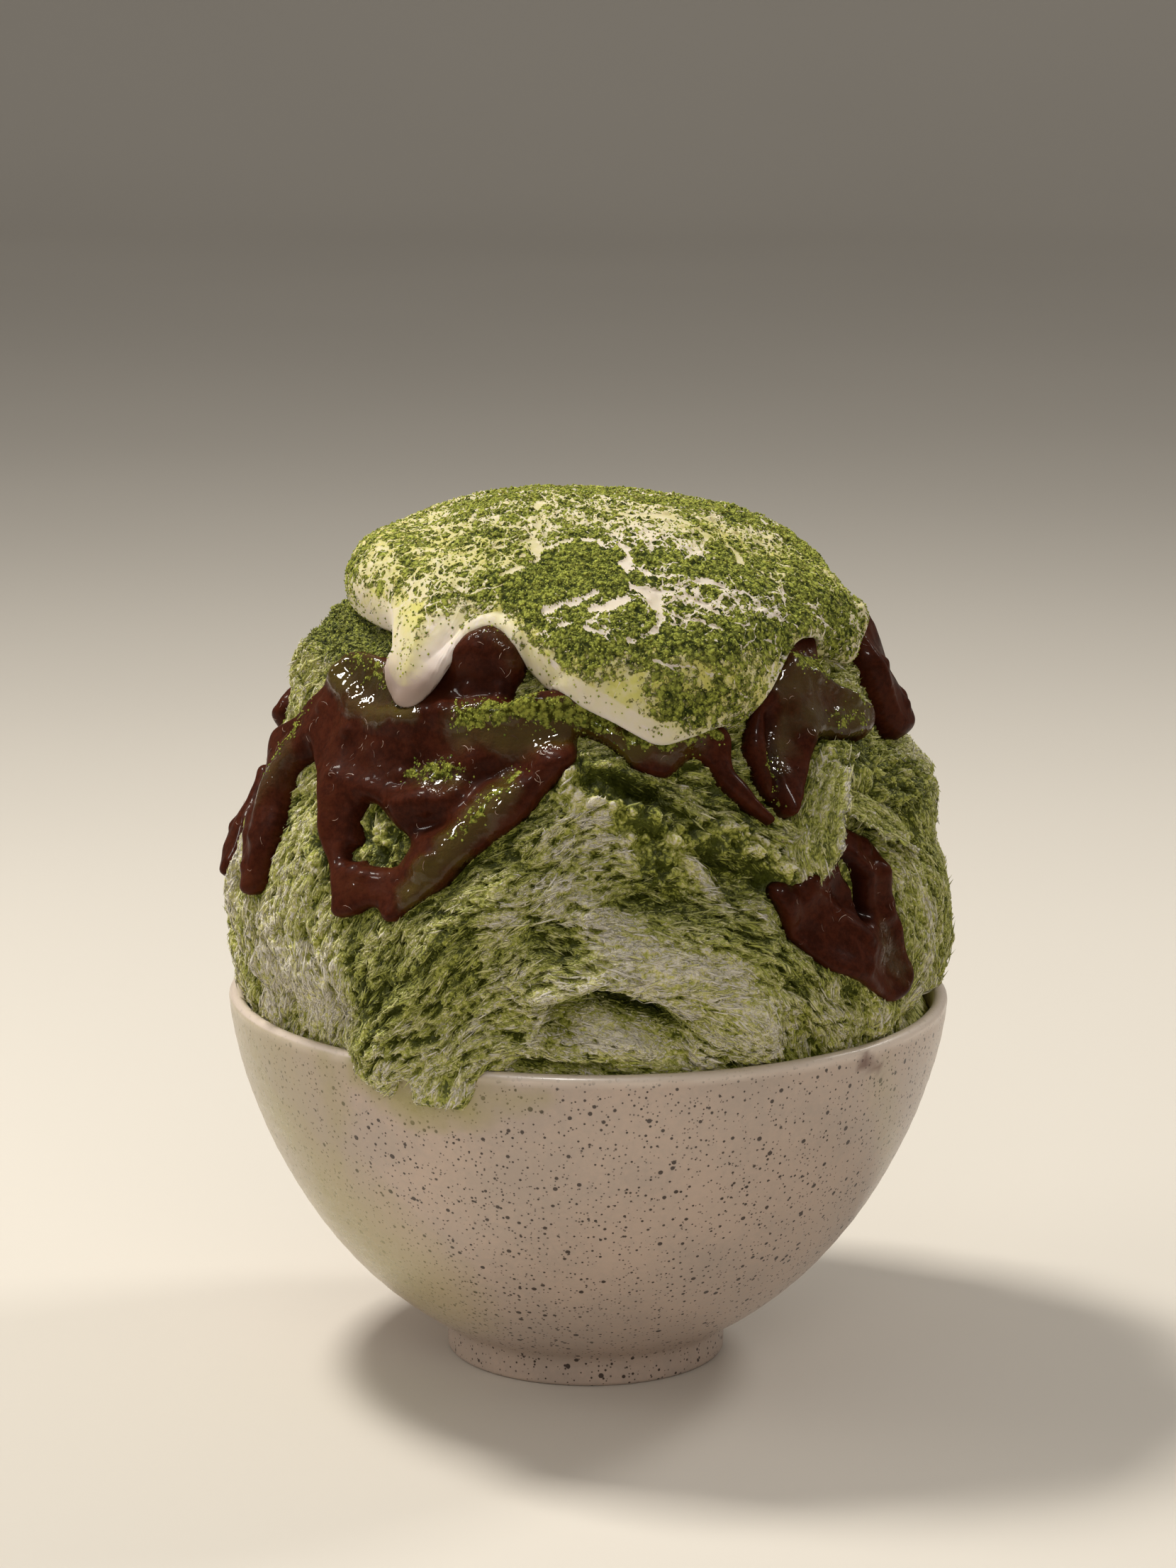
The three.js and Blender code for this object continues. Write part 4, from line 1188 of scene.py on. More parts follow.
@lru_cache(maxsize=None)
def ice_surface():
    """The ice's points, faces and attributes, with relief that follows the lie of the shavings."""
    top = np.linspace(0, ICE_TOP_ANGLE, 7)[1:-1]
    seen = np.linspace(ICE_TOP_ANGLE, ICE_LOW_ANGLE, ICE_ROWS)
    low = np.linspace(ICE_LOW_ANGLE, math.pi, 9)[1:-1]
    angles = np.concatenate([top, seen, low])
    front = np.linspace(-90, 90, 2 * ICE_SECTION, endpoint=False)
    turn = np.radians(np.concatenate([front, np.linspace(90, 270, ICE_SECTION, endpoint=False)]))
    grid = direction_of(np.tile(turn, len(angles)), np.repeat(angles, ICE_COLUMNS))
    directions = with_poles(UP, grid, -UP)
    faces = lathe_faces(len(angles), ICE_COLUMNS)
    smooth = mound_points(directions)
    height = smooth[:, 2] + MOUND_CENTRE
    exposed = smoothstep(RIM_HEIGHT - 3, RIM_HEIGHT + 1, height)
    _, paste_edge = all_paste(directions)
    cream_edge = cream_outline(directions)
    bared = smoothstep(-0.8, 0.8, np.minimum(paste_edge, cream_edge + 1.5))
    ragged = shaken(smooth, 1.6, 9.0, (37, 38, 39), 3)
    creased = folds_at(ragged, ICE_CREASES) - under_ledges(smooth + (ragged - smooth) * 0.5 / 1.6)
    points = directions * (ice_distance(directions) + creased * bared)[:, None]
    along = grain_directions(smooth, vertex_normals(points, faces))
    loose = np.clip(folds_at(smooth, CRUMBLY_ICE), 0, 1)
    packed = np.clip(folds_at(smooth, PACKED_ICE), 0, 1)
    cover = np.clip(folds_at(ragged, POWDERED_ICE), 0, 1)
    cover *= 1 + 0.4 * rough_noise(points, 5.0, 36)
    sheets = streaks(points, along, *SHEETS)
    fibres = streaks(points, along, *FIBRES)
    crumbs = rough_noise(points, *CRUMBS)
    lumps = np.abs(rough_noise(points, *LUMPS))
    holes = 0.4 * pits(points, along, *WEB) + 0.75 * pits(points, along, *FELT)
    holes = np.clip(holes - 0.1 * sheets, 0, 1.1)
    # Where loose or powdered, the holes follow the dips between crumbs: painted shade.
    holes += (np.clip(0.35 - 0.9 * crumbs, 0, 1) - holes) * np.maximum(loose, np.clip(cover, 0, 1))
    relief = SHEET_RELIEF * np.clip(sheets, -2, 2) + FIBRE_RELIEF * np.clip(fibres, -2, 2)
    relief = (relief - HOLE_DEPTH * holes + SHEET_RELIEF) * (1 - 0.75 * packed)
    relief += LOOSE_RELIEF * (lumps + 0.7 * crumbs) * loose
    some = np.flatnonzero(loose > 0.02)
    clumped, gaps = 0.0, 0.6
    for spacing, tall, filling in CLODS:
        clod = 0.55 - nearest_cells(ragged[some], spacing, 48)
        clumped = clumped + tall * clod
        gaps = gaps - filling * clod
    # Loose ice is darker in the gaps between clods: painted shade.
    relief[some] += loose[some] * clumped
    holes[some] = np.clip(holes[some] + loose[some] * gaps, 0, 1.3)
    points = points + directions * (relief * exposed * bared)[:, None]
    points = inside_bowl(points)
    # Syrup from the table, which also holds painted shade; raised creases are made paler as painted light.
    syrup_and_shade = MIDDLING_SYRUP + folds_at(ragged, SYRUP_AND_SHADE) + 0.18 * rough_noise(points, *SYRUP_CLOUDS)
    syrup_and_shade -= 0.12 * streaks(points, along, *SYRUP_STREAKS) + 0.12 * np.clip(creased, 0, 2)
    syrup_and_shade += 0.3 * smoothstep(3, 0, paste_edge)
    # Darker in holes and in creased hollows, lighter on raised fibres: wetness, painted shade and painted
    # light.
    pit_wet_and_shade = (holes - 0.09 * fibres) * (1 - 0.8 * packed) + 0.3 * np.clip(-creased - 0.7, 0, 3)
    hidden = 1 - smoothstep(-2.0, -0.5, np.minimum(paste_edge, cream_edge + 2))
    spilled = (height > 60) & (np.hypot(points[:, 0], points[:, 1]) > RIM_RADIUS)
    bare = (height > RIM_HEIGHT - 1.5) | spilled
    attributes = {
        "along": along,
        "syrup_and_shade": np.clip(syrup_and_shade, 0, 1),
        "pit_wet_and_shade": np.clip(pit_wet_and_shade, 0, 1),
        "cover": np.clip(cover, 0, 1),
        "seen": np.where(bare, 1 - hidden, 0.0) * (1 - 0.8 * np.clip(holes, 0, 1)) * (1 - 0.95 * loose),
    }
    return points + UP * MOUND_CENTRE, faces, attributes


def section_of_ice(first):
    """One wedge of the ice as a closed piece, from its first column over a third of all columns."""
    points, _, attributes = ice_surface()
    rows = (len(points) - 2) // ICE_COLUMNS
    columns = np.arange(first, first + ICE_SECTION + 1) % ICE_COLUMNS
    grid = 1 + np.arange(rows)[:, None] * ICE_COLUMNS + columns
    kept = np.concatenate([[0], grid.ravel(), [len(points) - 1]])
    place = 1 + np.arange(grid.size).reshape(grid.shape)
    a, b, c, d = place[:-1, :-1], place[1:, :-1], place[1:, 1:], place[:-1, 1:]
    bottom, middle = grid.size + 1, grid.size + 2

    def fan(tip, line):
        return np.stack([np.full(len(line) - 1, tip), line[:-1], line[1:]], axis=1)

    sides = [np.concatenate([[0], place[:, k], [bottom]]) for k in (0, -1)]
    faces = np.concatenate([
        np.stack([a, b, c, a, c, d], axis=-1).reshape(-1, 3),
        fan(0, place[0]), fan(bottom, place[-1][::-1]), fan(middle, sides[0][::-1]), fan(middle, sides[1]),
    ])
    points = np.concatenate([points[kept], [UP * MOUND_CENTRE]])
    return points, faces, {key: np.append(attributes[key][kept], 0.0) for key in ICE_MARKS}


@lru_cache(maxsize=None)
def soaked_ice_group():
    """The colour of shaved ice: dark and green where it is soaked and where it is deep, pale where it is
    dry and high; darker with depth is painted shade.
    """
    inputs = {"Syrup": "Float", "Depth": "Float", **dict.fromkeys(ICE_COLOURS, "Color")}
    group, given, result = new_tree("soaked_ice", "ShaderNodeTree", inputs, {"Colour": "Color"})
    level = maths(group, "ADD", given["Syrup"], given["Depth"])
    colour = given["White"]
    for low, high, wetter in ICE_STEPS:
        colour = mixed(group, ranged(group, level, low, high), colour, given[wetter])
    group.links.new(colour, result["Colour"])
    return group


def ice_material(name, depth):
    """Wet ice; depth builds the node that says how deep each spot is, which darkens it as painted shade."""
    look = settings().ice
    material, tree, surface = new_material(
        name, roughness=0.5, specular_ior_level=0.3, subsurface_weight=0.25,
        subsurface_radius=(1.0, 0.9, 0.5), subsurface_scale=0.0015,
    )
    position = object_position(tree)
    colours = {key: (*getattr(look, key.lower()), 1) for key in ICE_COLOURS}
    values = {"Syrup": attribute(tree, "syrup_and_shade"), "Depth": depth(tree, position), **colours}
    ice = use_group(tree, soaked_ice_group(), values)
    dust = powder(tree, position, attribute(tree, "cover"))
    colour = mixed(tree, dust["Mask"], ice["Colour"], dust["Colour"])
    grain = noise_texture(tree, position, ICE_GRAIN, 3.0, 0.7)
    rough = maths(tree, "SUBTRACT", grain, values["Depth"])
    height = maths(tree, "MULTIPLY_ADD", dust["Height"], 1.5, rough)
    dull = ranged(tree, dust["Mask"], 0, 1, 0.45, 0.9)
    finish(tree, surface, colour, bumped(tree, height, 0.45, 0.8), dull)
    return material


def core_depth(tree, position):
    """How deep each spot of the heap is, which darkens it as wetness and painted shade: its holes, and
    crumbs finer than its mesh.
    """
    fine = noise_texture(tree, position, ICE_CRUMBS, 3.0, 0.75)
    cell = cells(tree, wandering(tree, position, *CELL_BENDS, 3.0), ICE_CELLS)["Distance"]
    crumb = maths(tree, "ADD", maths(tree, "MULTIPLY", cell, 1.2), maths(tree, "MULTIPLY", fine, 1.3))
    return maths(tree, "MULTIPLY_ADD", attribute(tree, "pit_wet_and_shade"), 0.95, maths(tree, "SUBTRACT", crumb, 1.5))


def shaving_depth(tree, position):
    """How dark each shaving is: its own tint, and the hole that it lies in, as wetness and painted shade.
    """
    own = maths(tree, "MULTIPLY_ADD", attribute(tree, "tint"), 0.9, -0.72)
    return maths(tree, "MULTIPLY_ADD", attribute(tree, "pit_wet_and_shade"), 0.5, own)


# Loose sheets of ice that curl away from the heap: from one end to the other, each station is (azimuth,
# height, rise off the ice, half width, extra rise of the left or lower edge and of the right or upper one).
ICE_CURLS = (
    ((45, 118, -0.8, 1.8, -2, 0), (42.5, 114.5, 0.8, 3.6, -4, 1.8), (38.5, 109.5, 1.4, 4.2, -4, 2.6),
     (36, 103.5, 1.6, 3.8, -4, 2.6), (36, 98, 1.6, 2.4, -2, 1.8), (37.5, 94, 1.6, 0.9, 0, 0.5)),
    ((43, 111.5, 0, 1.6, 0, -2), (50, 109, 1.2, 3.4, 2.0, -4), (56.5, 105.2, 1.8, 3.8, 2.6, -4),
     (62, 102.2, 1.4, 3.2, 2.2, -4), (67, 98, -0.4, 1.6, 0, -2)),
)
CURL_ROWS = 90
CURL_COLUMNS = 18
CURL_THICKNESS = 0.8
CURL_RELIEF = 0.3
CURL_GROOVE_DEPTH = 0.22
CURL_RAGGEDNESS = 0.3
CURL_SYRUP = 0.55


def curl_surface(stations, seed):
    """A thin closed sheet along a row of stations, with ragged edges, and its attributes."""
    knots = np.linspace(0, 1, len(stations))
    steps = np.linspace(0, 1, CURL_ROWS)
    columns = np.array(stations, float).T
    azimuth, height, rise, half, left, right = (curve_through(knots, column, steps) for column in columns)
    middle = place_path(np.column_stack([azimuth, height]))[:, :3]
    ahead = np.gradient(middle, axis=0)
    side = unit(np.cross(unit(middle), ahead))
    across = np.linspace(-1, 1, CURL_COLUMNS)
    across = np.concatenate([across, across[-2:0:-1]])
    under = np.concatenate([np.zeros(CURL_COLUMNS), np.ones(CURL_COLUMNS - 2)])
    ragged = 1 + CURL_RAGGEDNESS * rough_noise(middle + 7 * seed, 2.6, 80, 3, 0.8)
    half = half * ragged * np.sqrt(np.clip(np.minimum(steps, 1 - steps) * 8, 0.05, 1))
    spread = middle[:, None] + side[:, None] * (half[:, None] * across)[..., None]
    directions = unit(spread.reshape(-1, 3))
    lift = rise[:, None] + np.where(across < 0, left[:, None], right[:, None]) * across**2
    thin = CURL_THICKNESS * (0.3 + 0.7 * (1 - across**2)) * under
    distance = ice_distance(directions) + (lift - thin).ravel()
    along = unit(np.repeat(ahead, len(across), axis=0))
    points = directions * distance[:, None]
    grooves = streaks(points, along, *CURL_GROOVES)
    relief = CURL_RELIEF * rough_noise(points, 1.8, 81, 2) + CURL_GROOVE_DEPTH * grooves
    points += directions * relief[:, None]
    ends = [points[: len(across)].mean(axis=0), points[-len(across) :].mean(axis=0)]
    points = with_poles(ends[0], points, ends[1])
    faces = lathe_faces(CURL_ROWS, len(across))
    corner = points[faces]
    if np.einsum("ij,ij->i", corner[:, 0], np.cross(corner[:, 1], corner[:, 2])).sum() < 0:
        faces = faces[:, ::-1]
    along = with_poles(along[0], along, along[-1])
    grooves = with_poles(0.0, grooves, 0.0)
    edge = with_poles(1.0, np.tile(np.abs(across), CURL_ROWS), 1.0)
    # The sheet's underside is darker and its raised grooves lighter: painted shade and painted light.
    syrup_and_shade = CURL_SYRUP + 0.25 * rough_noise(points, 6.0, 82) - 0.3 * (edge > 0.8) - 0.12 * grooves
    outer = with_poles(0.0, np.tile(1 - under, CURL_ROWS), 0.0)
    marks = {
        "along": along, "syrup_and_shade": np.clip(syrup_and_shade, 0, 1),
        "pit_wet_and_shade": np.clip(0.2 + 0.3 * noise(points, 1.4, 83) + 0.4 * (1 - outer) - 0.12 * grooves, 0, 1),
        "cover": np.clip(0.35 * rough_noise(points, 5.0, 84), 0, 1), "seen": 0.8 * outer,
    }
    return points + UP * MOUND_CENTRE, faces, marks


@lru_cache(maxsize=None)
def all_curls():
    return joined([curl_surface(stations, seed) for seed, stations in enumerate(ICE_CURLS)])


class MakeIce(bpy.types.Operator):
    """Heap the ice in the bowl, with folds, hollows and a tuft that spills over the rim"""

    bl_idname = "dessert.make_ice"
    bl_label = "Shaved ice"

    def execute(self, context):
        material = ice_material("heaped_ice", core_depth)
        for k, side in enumerate(("left", "right", "back")):
            section = make_mesh(f"shaved_ice_{side}", *section_of_ice(k * ICE_SECTION))
            dress(section, material, "shaved_ice", "shaved_ice")
        points, faces, marks = all_curls()
        curls = make_mesh("shaved_ice_curls", points, faces, {key: marks[key] for key in ICE_MARKS})
        dress(curls, material, "shaved_ice")
        return {"FINISHED"}


def strip_mesh(name, path, width):
    """A closed three-sided strip along a path a unit long, with pointed ends, to be laid on a surface."""
    path = np.array(path, float)
    points = [path[0]]
    for before, here, after in zip(path[:-2], path[1:-1], path[2:]):
        ahead = (after - before) / np.linalg.norm(after - before)
        side = np.cross(UP, ahead) * width / 2
        points += [here - side, here + side, here + UP * width * 0.35]
    points.append(path[-1])
    last = len(points) - 1
    faces = []
    for a, b in ((1, 2), (2, 3), (3, 1)):
        faces.append((0, b, a))
        for k in range(0, last - 4, 3):
            faces += [(a + k, b + k, b + k + 3), (a + k, b + k + 3, a + k + 3)]
        faces.append((a + last - 4, b + last - 4, last))
    return make_mesh(name, np.array(points) / MM, np.array(faces), smooth=False)


def scatter_tree(name, pose_inputs, weight, tint_seed, pose):
    """A geometry node tree that scatters copies of a shape over a mesh, as one mesh with a tint for each.

    The weight is the attribute that thins them out. The pose is given the tree, its inputs and the normals
    where copies lie, and gives their rotation, their scale and the shift off the mesh, if any.
    """
    inputs = {"Geometry": "Geometry", "Shape": "Object", "Per area": "Float", "Seed": "Int", **pose_inputs}
    outputs = {"Geometry": "Geometry"}
    tree, given, result = new_tree(name, "GeometryNodeTree", {**inputs, "Material": "Material"}, outputs)
    density = maths(tree, "MULTIPLY", given["Per area"], named_field(tree, weight))
    spread = add(
        tree, "GeometryNodeDistributePointsOnFaces",
        {"Mesh": given["Geometry"], "Density": density, "Seed": given["Seed"]}, distribute_method="RANDOM",
    ).outputs
    rotation, scale, lift = pose(tree, given, spread["Normal"])
    tinted_points = add(tree, "GeometryNodeStoreNamedAttribute", {
        "Geometry": spread["Points"], "Name": "tint", "Value": random_number(tree, 0.0, 1.0, tint_seed),
    }, data_type="FLOAT", domain="POINT").outputs[0]
    shape = add(tree, "GeometryNodeObjectInfo", {"Object": given["Shape"]}).outputs["Geometry"]
    placed = add(tree, "GeometryNodeInstanceOnPoints", {
        "Points": tinted_points, "Instance": shape, "Rotation": rotation, "Scale": scale,
    }).outputs[0]
    if lift:
        placed = add(tree, "GeometryNodeTranslateInstances", {0: placed, "Translation": lift}).outputs[0]
    real = add(tree, "GeometryNodeRealizeInstances", {0: placed}).outputs[0]
    coated = add(tree, "GeometryNodeSetMaterial", {0: real, "Material": given["Material"]}).outputs[0]
    tree.links.new(coated, result["Geometry"])
    return tree


def random_number(tree, low, high, seed, kind="FLOAT"):
    """A random number or vector for each point, between two bounds."""
    node = add(tree, "FunctionNodeRandomValue", data_type=kind)
    names = {socket.name: socket for socket in node.inputs if socket.enabled}
    for key, value in (("Min", low), ("Max", high), ("Seed", seed)):
        feed(tree, names[key], value)
    return next(socket for socket in node.outputs if socket.enabled)


def named_field(tree, name, kind="FLOAT"):
    node = add(tree, "GeometryNodeInputNamedAttribute", {"Name": name}, data_type=kind)
    return next(socket for socket in node.outputs if socket.enabled and socket.name == "Attribute")


def lie_along_grain(tree, given, normal):
    """Each shaving lies along the grain, with a little turn, tilt and roll of its own."""
    facing = add(tree, "FunctionNodeAxesToRotation", {
        "Primary Axis": normal, "Secondary Axis": named_field(tree, "along", "FLOAT_VECTOR"),
    }, primary_axis="Z", secondary_axis="X").outputs[0]
    own = {}
    for axis, (key, seed) in enumerate((("Roll", 5), ("Tilt", 4), ("Turn", 3))):
        own[axis] = random_number(tree, maths(tree, "MULTIPLY", given[key], -1.0), given[key], seed)
    own = add(tree, "ShaderNodeCombineXYZ", own).outputs[0]
    own = add(tree, "FunctionNodeEulerToRotation", {0: own}).outputs[0]
    both = {0: facing, 1: own}
    rotation = add(tree, "FunctionNodeRotateRotation", both, rotation_space="LOCAL").outputs[0]
    length = maths(tree, "MULTIPLY", given["Length"], random_number(tree, 0.45, 1.3, 6))
    width = maths(tree, "MULTIPLY", given["Width"], random_number(tree, 0.6, 1.3, 7))
    scale = add(tree, "ShaderNodeCombineXYZ", {0: length, 1: width, 2: width}).outputs[0]
    lift = add(tree, "ShaderNodeCombineXYZ", {2: random_number(tree, 0.0, given["Lift"], 9)}).outputs[0]
    return rotation, scale, lift


@lru_cache(maxsize=None)
def shavings_tree():
    pose_inputs = dict.fromkeys(("Length", "Width", "Turn", "Tilt", "Roll", "Lift"), "Float")
    return scatter_tree("lay_shavings", pose_inputs, "seen", 8, lie_along_grain)


def grown_on(host, name, tree, values, keep):
    """The result of a geometry node tree on a host, as a plain mesh object of its own."""
    modifier = host.modifiers.new(name, "NODES")
    modifier.node_group = tree
    for item in tree.interface.items_tree:
        if item.in_out == "INPUT" and item.name in values:
            modifier[item.identifier] = values[item.name]
    graph = bpy.context.evaluated_depsgraph_get()
    mesh = bpy.data.meshes.new_from_object(
        host.evaluated_get(graph), preserve_all_data_layers=True, depsgraph=graph
    )
    host.modifiers.remove(modifier)
    layers = [a.name for a in mesh.attributes if not (a.is_internal or a.is_required or a.name in keep)]
    for layer in layers:
        mesh.attributes.remove(mesh.attributes[layer])
    mesh.name = name
    grown = bpy.data.objects.new(name, mesh)
    bpy.context.collection.objects.link(grown)
    return grown


def discard(obj):
    mesh = obj.data
    bpy.data.objects.remove(obj)
    bpy.data.meshes.remove(mesh)


def scatter(host, name, tree, shape, slot, values, keep=()):
    """Scatters copies of a shape over a host as one dressed piece, and throws the shape away."""
    grown = grown_on(host, name, tree, {"Shape": shape, **values}, ("position", "tint", *keep))
    discard(shape)
    dress(grown, values["Material"], slot)


def weighted_area(points, faces, weight):
    """The area of a mesh in square metres, with each face counted by the weight of its corners."""
    area = 0.5 * np.linalg.norm(face_normals(points * MM, faces), axis=1)
    return float((area * weight[faces].mean(axis=1)).sum())


SHAVING_ROLL = 1.2
LONG_SHAVING = ((-0.5, 0, -0.1), (-0.2, 0.3, 0.1), (0.2, -0.2, 0.1), (0.5, 0, -0.1))
SHORT_SHAVING = ((-0.5, 0, -0.15), (0.05, 0.25, 0.2), (0.5, -0.1, -0.1))
# Each kind of shaving: its shape, how many as a share of the setting, length in millimetres, width as a
# share of the setting, turn and tilt in radians, lift in millimetres, and seed.
SHAVINGS = {
    "ice_shavings": (LONG_SHAVING, 1, 3.6, 0.7, 0.35, 0.12, 0.2, 1),
    "ice_threads": (SHORT_SHAVING, 2, 2.2, 0.5, 0.4, 0.25, 0.3, 4),
    "ice_crumbs": (SHORT_SHAVING, 2, 1.8, 0.7, 0.6, 0.3, 0.3, 2),
    "ice_flecks": (SHORT_SHAVING, 2, 1.0, 0.8, 1.5, 0.6, 0.35, 3),
}


class ScatterShavings(bpy.types.Operator):
    """Lay thousands of single ice shavings over the heap along its grain"""

    bl_idname = "dessert.scatter_shavings"
    bl_label = "Ice shavings"

    def execute(self, context):
        look = settings().ice
        points, faces, attributes = joined([ice_surface(), all_curls()])
        host = make_mesh("shavings_host", points, faces, attributes)
        material = ice_material("ice_shaving", shaving_depth)
        per_area = look.shavings / weighted_area(points, faces, attributes["seen"])
        for name, (path, share, length, width, turn, tilt, lift, seed) in SHAVINGS.items():
            shape = strip_mesh(f"{name}_shape", path, 1.0)
            scatter(host, name, shavings_tree(), shape, "shaved_ice", {
                "Per area": per_area * share, "Length": length * MM, "Width": look.shaving_width * width,
                "Turn": turn, "Tilt": tilt, "Roll": SHAVING_ROLL, "Lift": lift * MM, "Seed": seed,
                "Material": material,
            }, ICE_MARKS)
        discard(host)
        return {"FINISHED"}


# ---- Bean paste ---------------------------------------------------------------------------------


SPHERE_DETAIL = 150
PASTE_LOWEST_ANGLE = math.radians(106)
PASTE_SINKS_IN = 0.9
# Rolls of the paste: height as a share of the setting, spacing in millimetres, seed and octaves.
PASTE_ROLLS = ((0.75, 9.0, 41, 2), (0.35, 3.4, 42, 1))
PASTE_FOLDING = 1.2
STAIN_WANDER = 1.2
# Whole beans: spacing in millimetres, size as a share of the spacing, and height in millimetres for each
# whole spacing.
BEAN_SPACING = 6.0
BEAN_SIZE = 0.3
BEAN_HEIGHT = 2.6
SKINS_PER_MM2 = 0.1
DARK_SKIN = (0.1, 0.035, 0.02)
PALE_SKIN = (0.55, 0.38, 0.3)


@lru_cache(maxsize=None)
def fine_sphere(detail):
    """Evenly spread directions and their triangles: an icosahedron, each edge cut into detail steps."""
    gold = (1 + 5**0.5) / 2
    signs = [(a, b) for a in (-1, 1) for b in (-gold, gold)]
    corners = [(0, a, b) for a, b in signs] + [(a, b, 0) for a, b in signs] + [(b, 0, a) for a, b in signs]
    corners = np.array(corners, float)
    gaps = np.linalg.norm(corners[:, None] - corners[None], axis=2)
    points, faces = [], []
    rows = [(i, j) for i in range(detail + 1) for j in range(detail + 1 - i)]
    place = {step: index for index, step in enumerate(rows)}
    small = []
    for i, j in rows:
        if i + j < detail:
            small.append((place[i, j], place[i + 1, j], place[i, j + 1]))
    for i, j in rows:
        if i + j < detail - 1:
            small.append((place[i + 1, j], place[i + 1, j + 1], place[i, j + 1]))
    small = np.array(small)
    weights = np.array([(i, j, detail - i - j) for i, j in rows]) / detail
    for a, b, c in itertools.combinations(range(12), 3):
        if max(gaps[a, b], gaps[b, c], gaps[a, c]) > 2.1:
            continue
        triangle = corners[[a, b, c]]
        if np.linalg.det(triangle) < 0:
            triangle = triangle[[1, 0, 2]]
        faces.append(small + len(rows) * len(points))
        points.append(weights @ triangle)
    points, faces = np.concatenate(points), np.concatenate(faces)
    _, first, where = np.unique(np.round(points, 5), axis=0, return_index=True, return_inverse=True)
    points = points[first]
    return unit(points), where.reshape(-1)[faces]


def patch(directions, triangles, outline, base, top):
    """A closed layer over the directions inside an outline, from distance base to distance top.

    Gives its points, its triangles and the numbers of the directions that it uses.
    """
    inside = outline < 0
    kept = triangles[inside[triangles].any(axis=1)]
    count = inside[kept].sum(axis=1)
    whole = kept[count == 3]
    cut = kept[count < 3]
    lone = np.where(count[count < 3] == 1, inside[cut].argmax(axis=1), (~inside[cut]).argmax(axis=1))
    rows = np.arange(len(cut))
    a, b, c = (cut[rows, (lone + k) % 3] for k in range(3))
    edges = np.sort(np.concatenate([np.stack([a, b], 1), np.stack([a, c], 1)]), axis=1)
    unique, where = np.unique(edges, axis=0, return_inverse=True)
    where = where.reshape(-1)
    t = (outline[unique[:, 0]] / (outline[unique[:, 0]] - outline[unique[:, 1]])).clip(0.05, 0.95)[:, None]
    used = np.flatnonzero(inside & np.isin(np.arange(len(outline)), kept))
    number = np.full(len(outline), -1)
    number[used] = np.arange(len(used))
    total = len(used)
    edge_points = directions * base[:, None]
    edge_points = edge_points[unique[:, 0]] * (1 - t) + edge_points[unique[:, 1]] * t
    outer, inner = (directions[used] * distance[used, None] for distance in (top, base))
    points = np.concatenate([outer, inner, edge_points])
    ab, ac = 2 * total + where[: len(cut)], 2 * total + where[len(cut) :]
    alone = inside[a]
    faces = []
    for shift, turned in ((0, False), (total, True)):
        here = [number[whole] + shift]
        one = np.stack([number[a] + shift, ab, ac], axis=1)[alone]
        two = np.concatenate([
            np.stack([ab, number[b] + shift, number[c] + shift], axis=1)[~alone],
            np.stack([ab, number[c] + shift, ac], axis=1)[~alone],
        ])
        here = np.concatenate([*here, one, two])
        faces.append(here[:, ::-1] if turned else here)
    return points, np.concatenate(faces), used


# Spacings in millimetres of the paste's mottling, its grain, its soft rolls and the drops on it.
PASTE_CLOUDS = 6.0
PASTE_GRAIN = 0.9
PASTE_SOFT_ROLLS = 2.6
PASTE_DROPS = 2.4
# What the paste's colour is multiplied by in its mottling, and in its hollows as painted shade.
DARK_MOTTLING = 0.5
HOLLOW_SHADE = 0.2


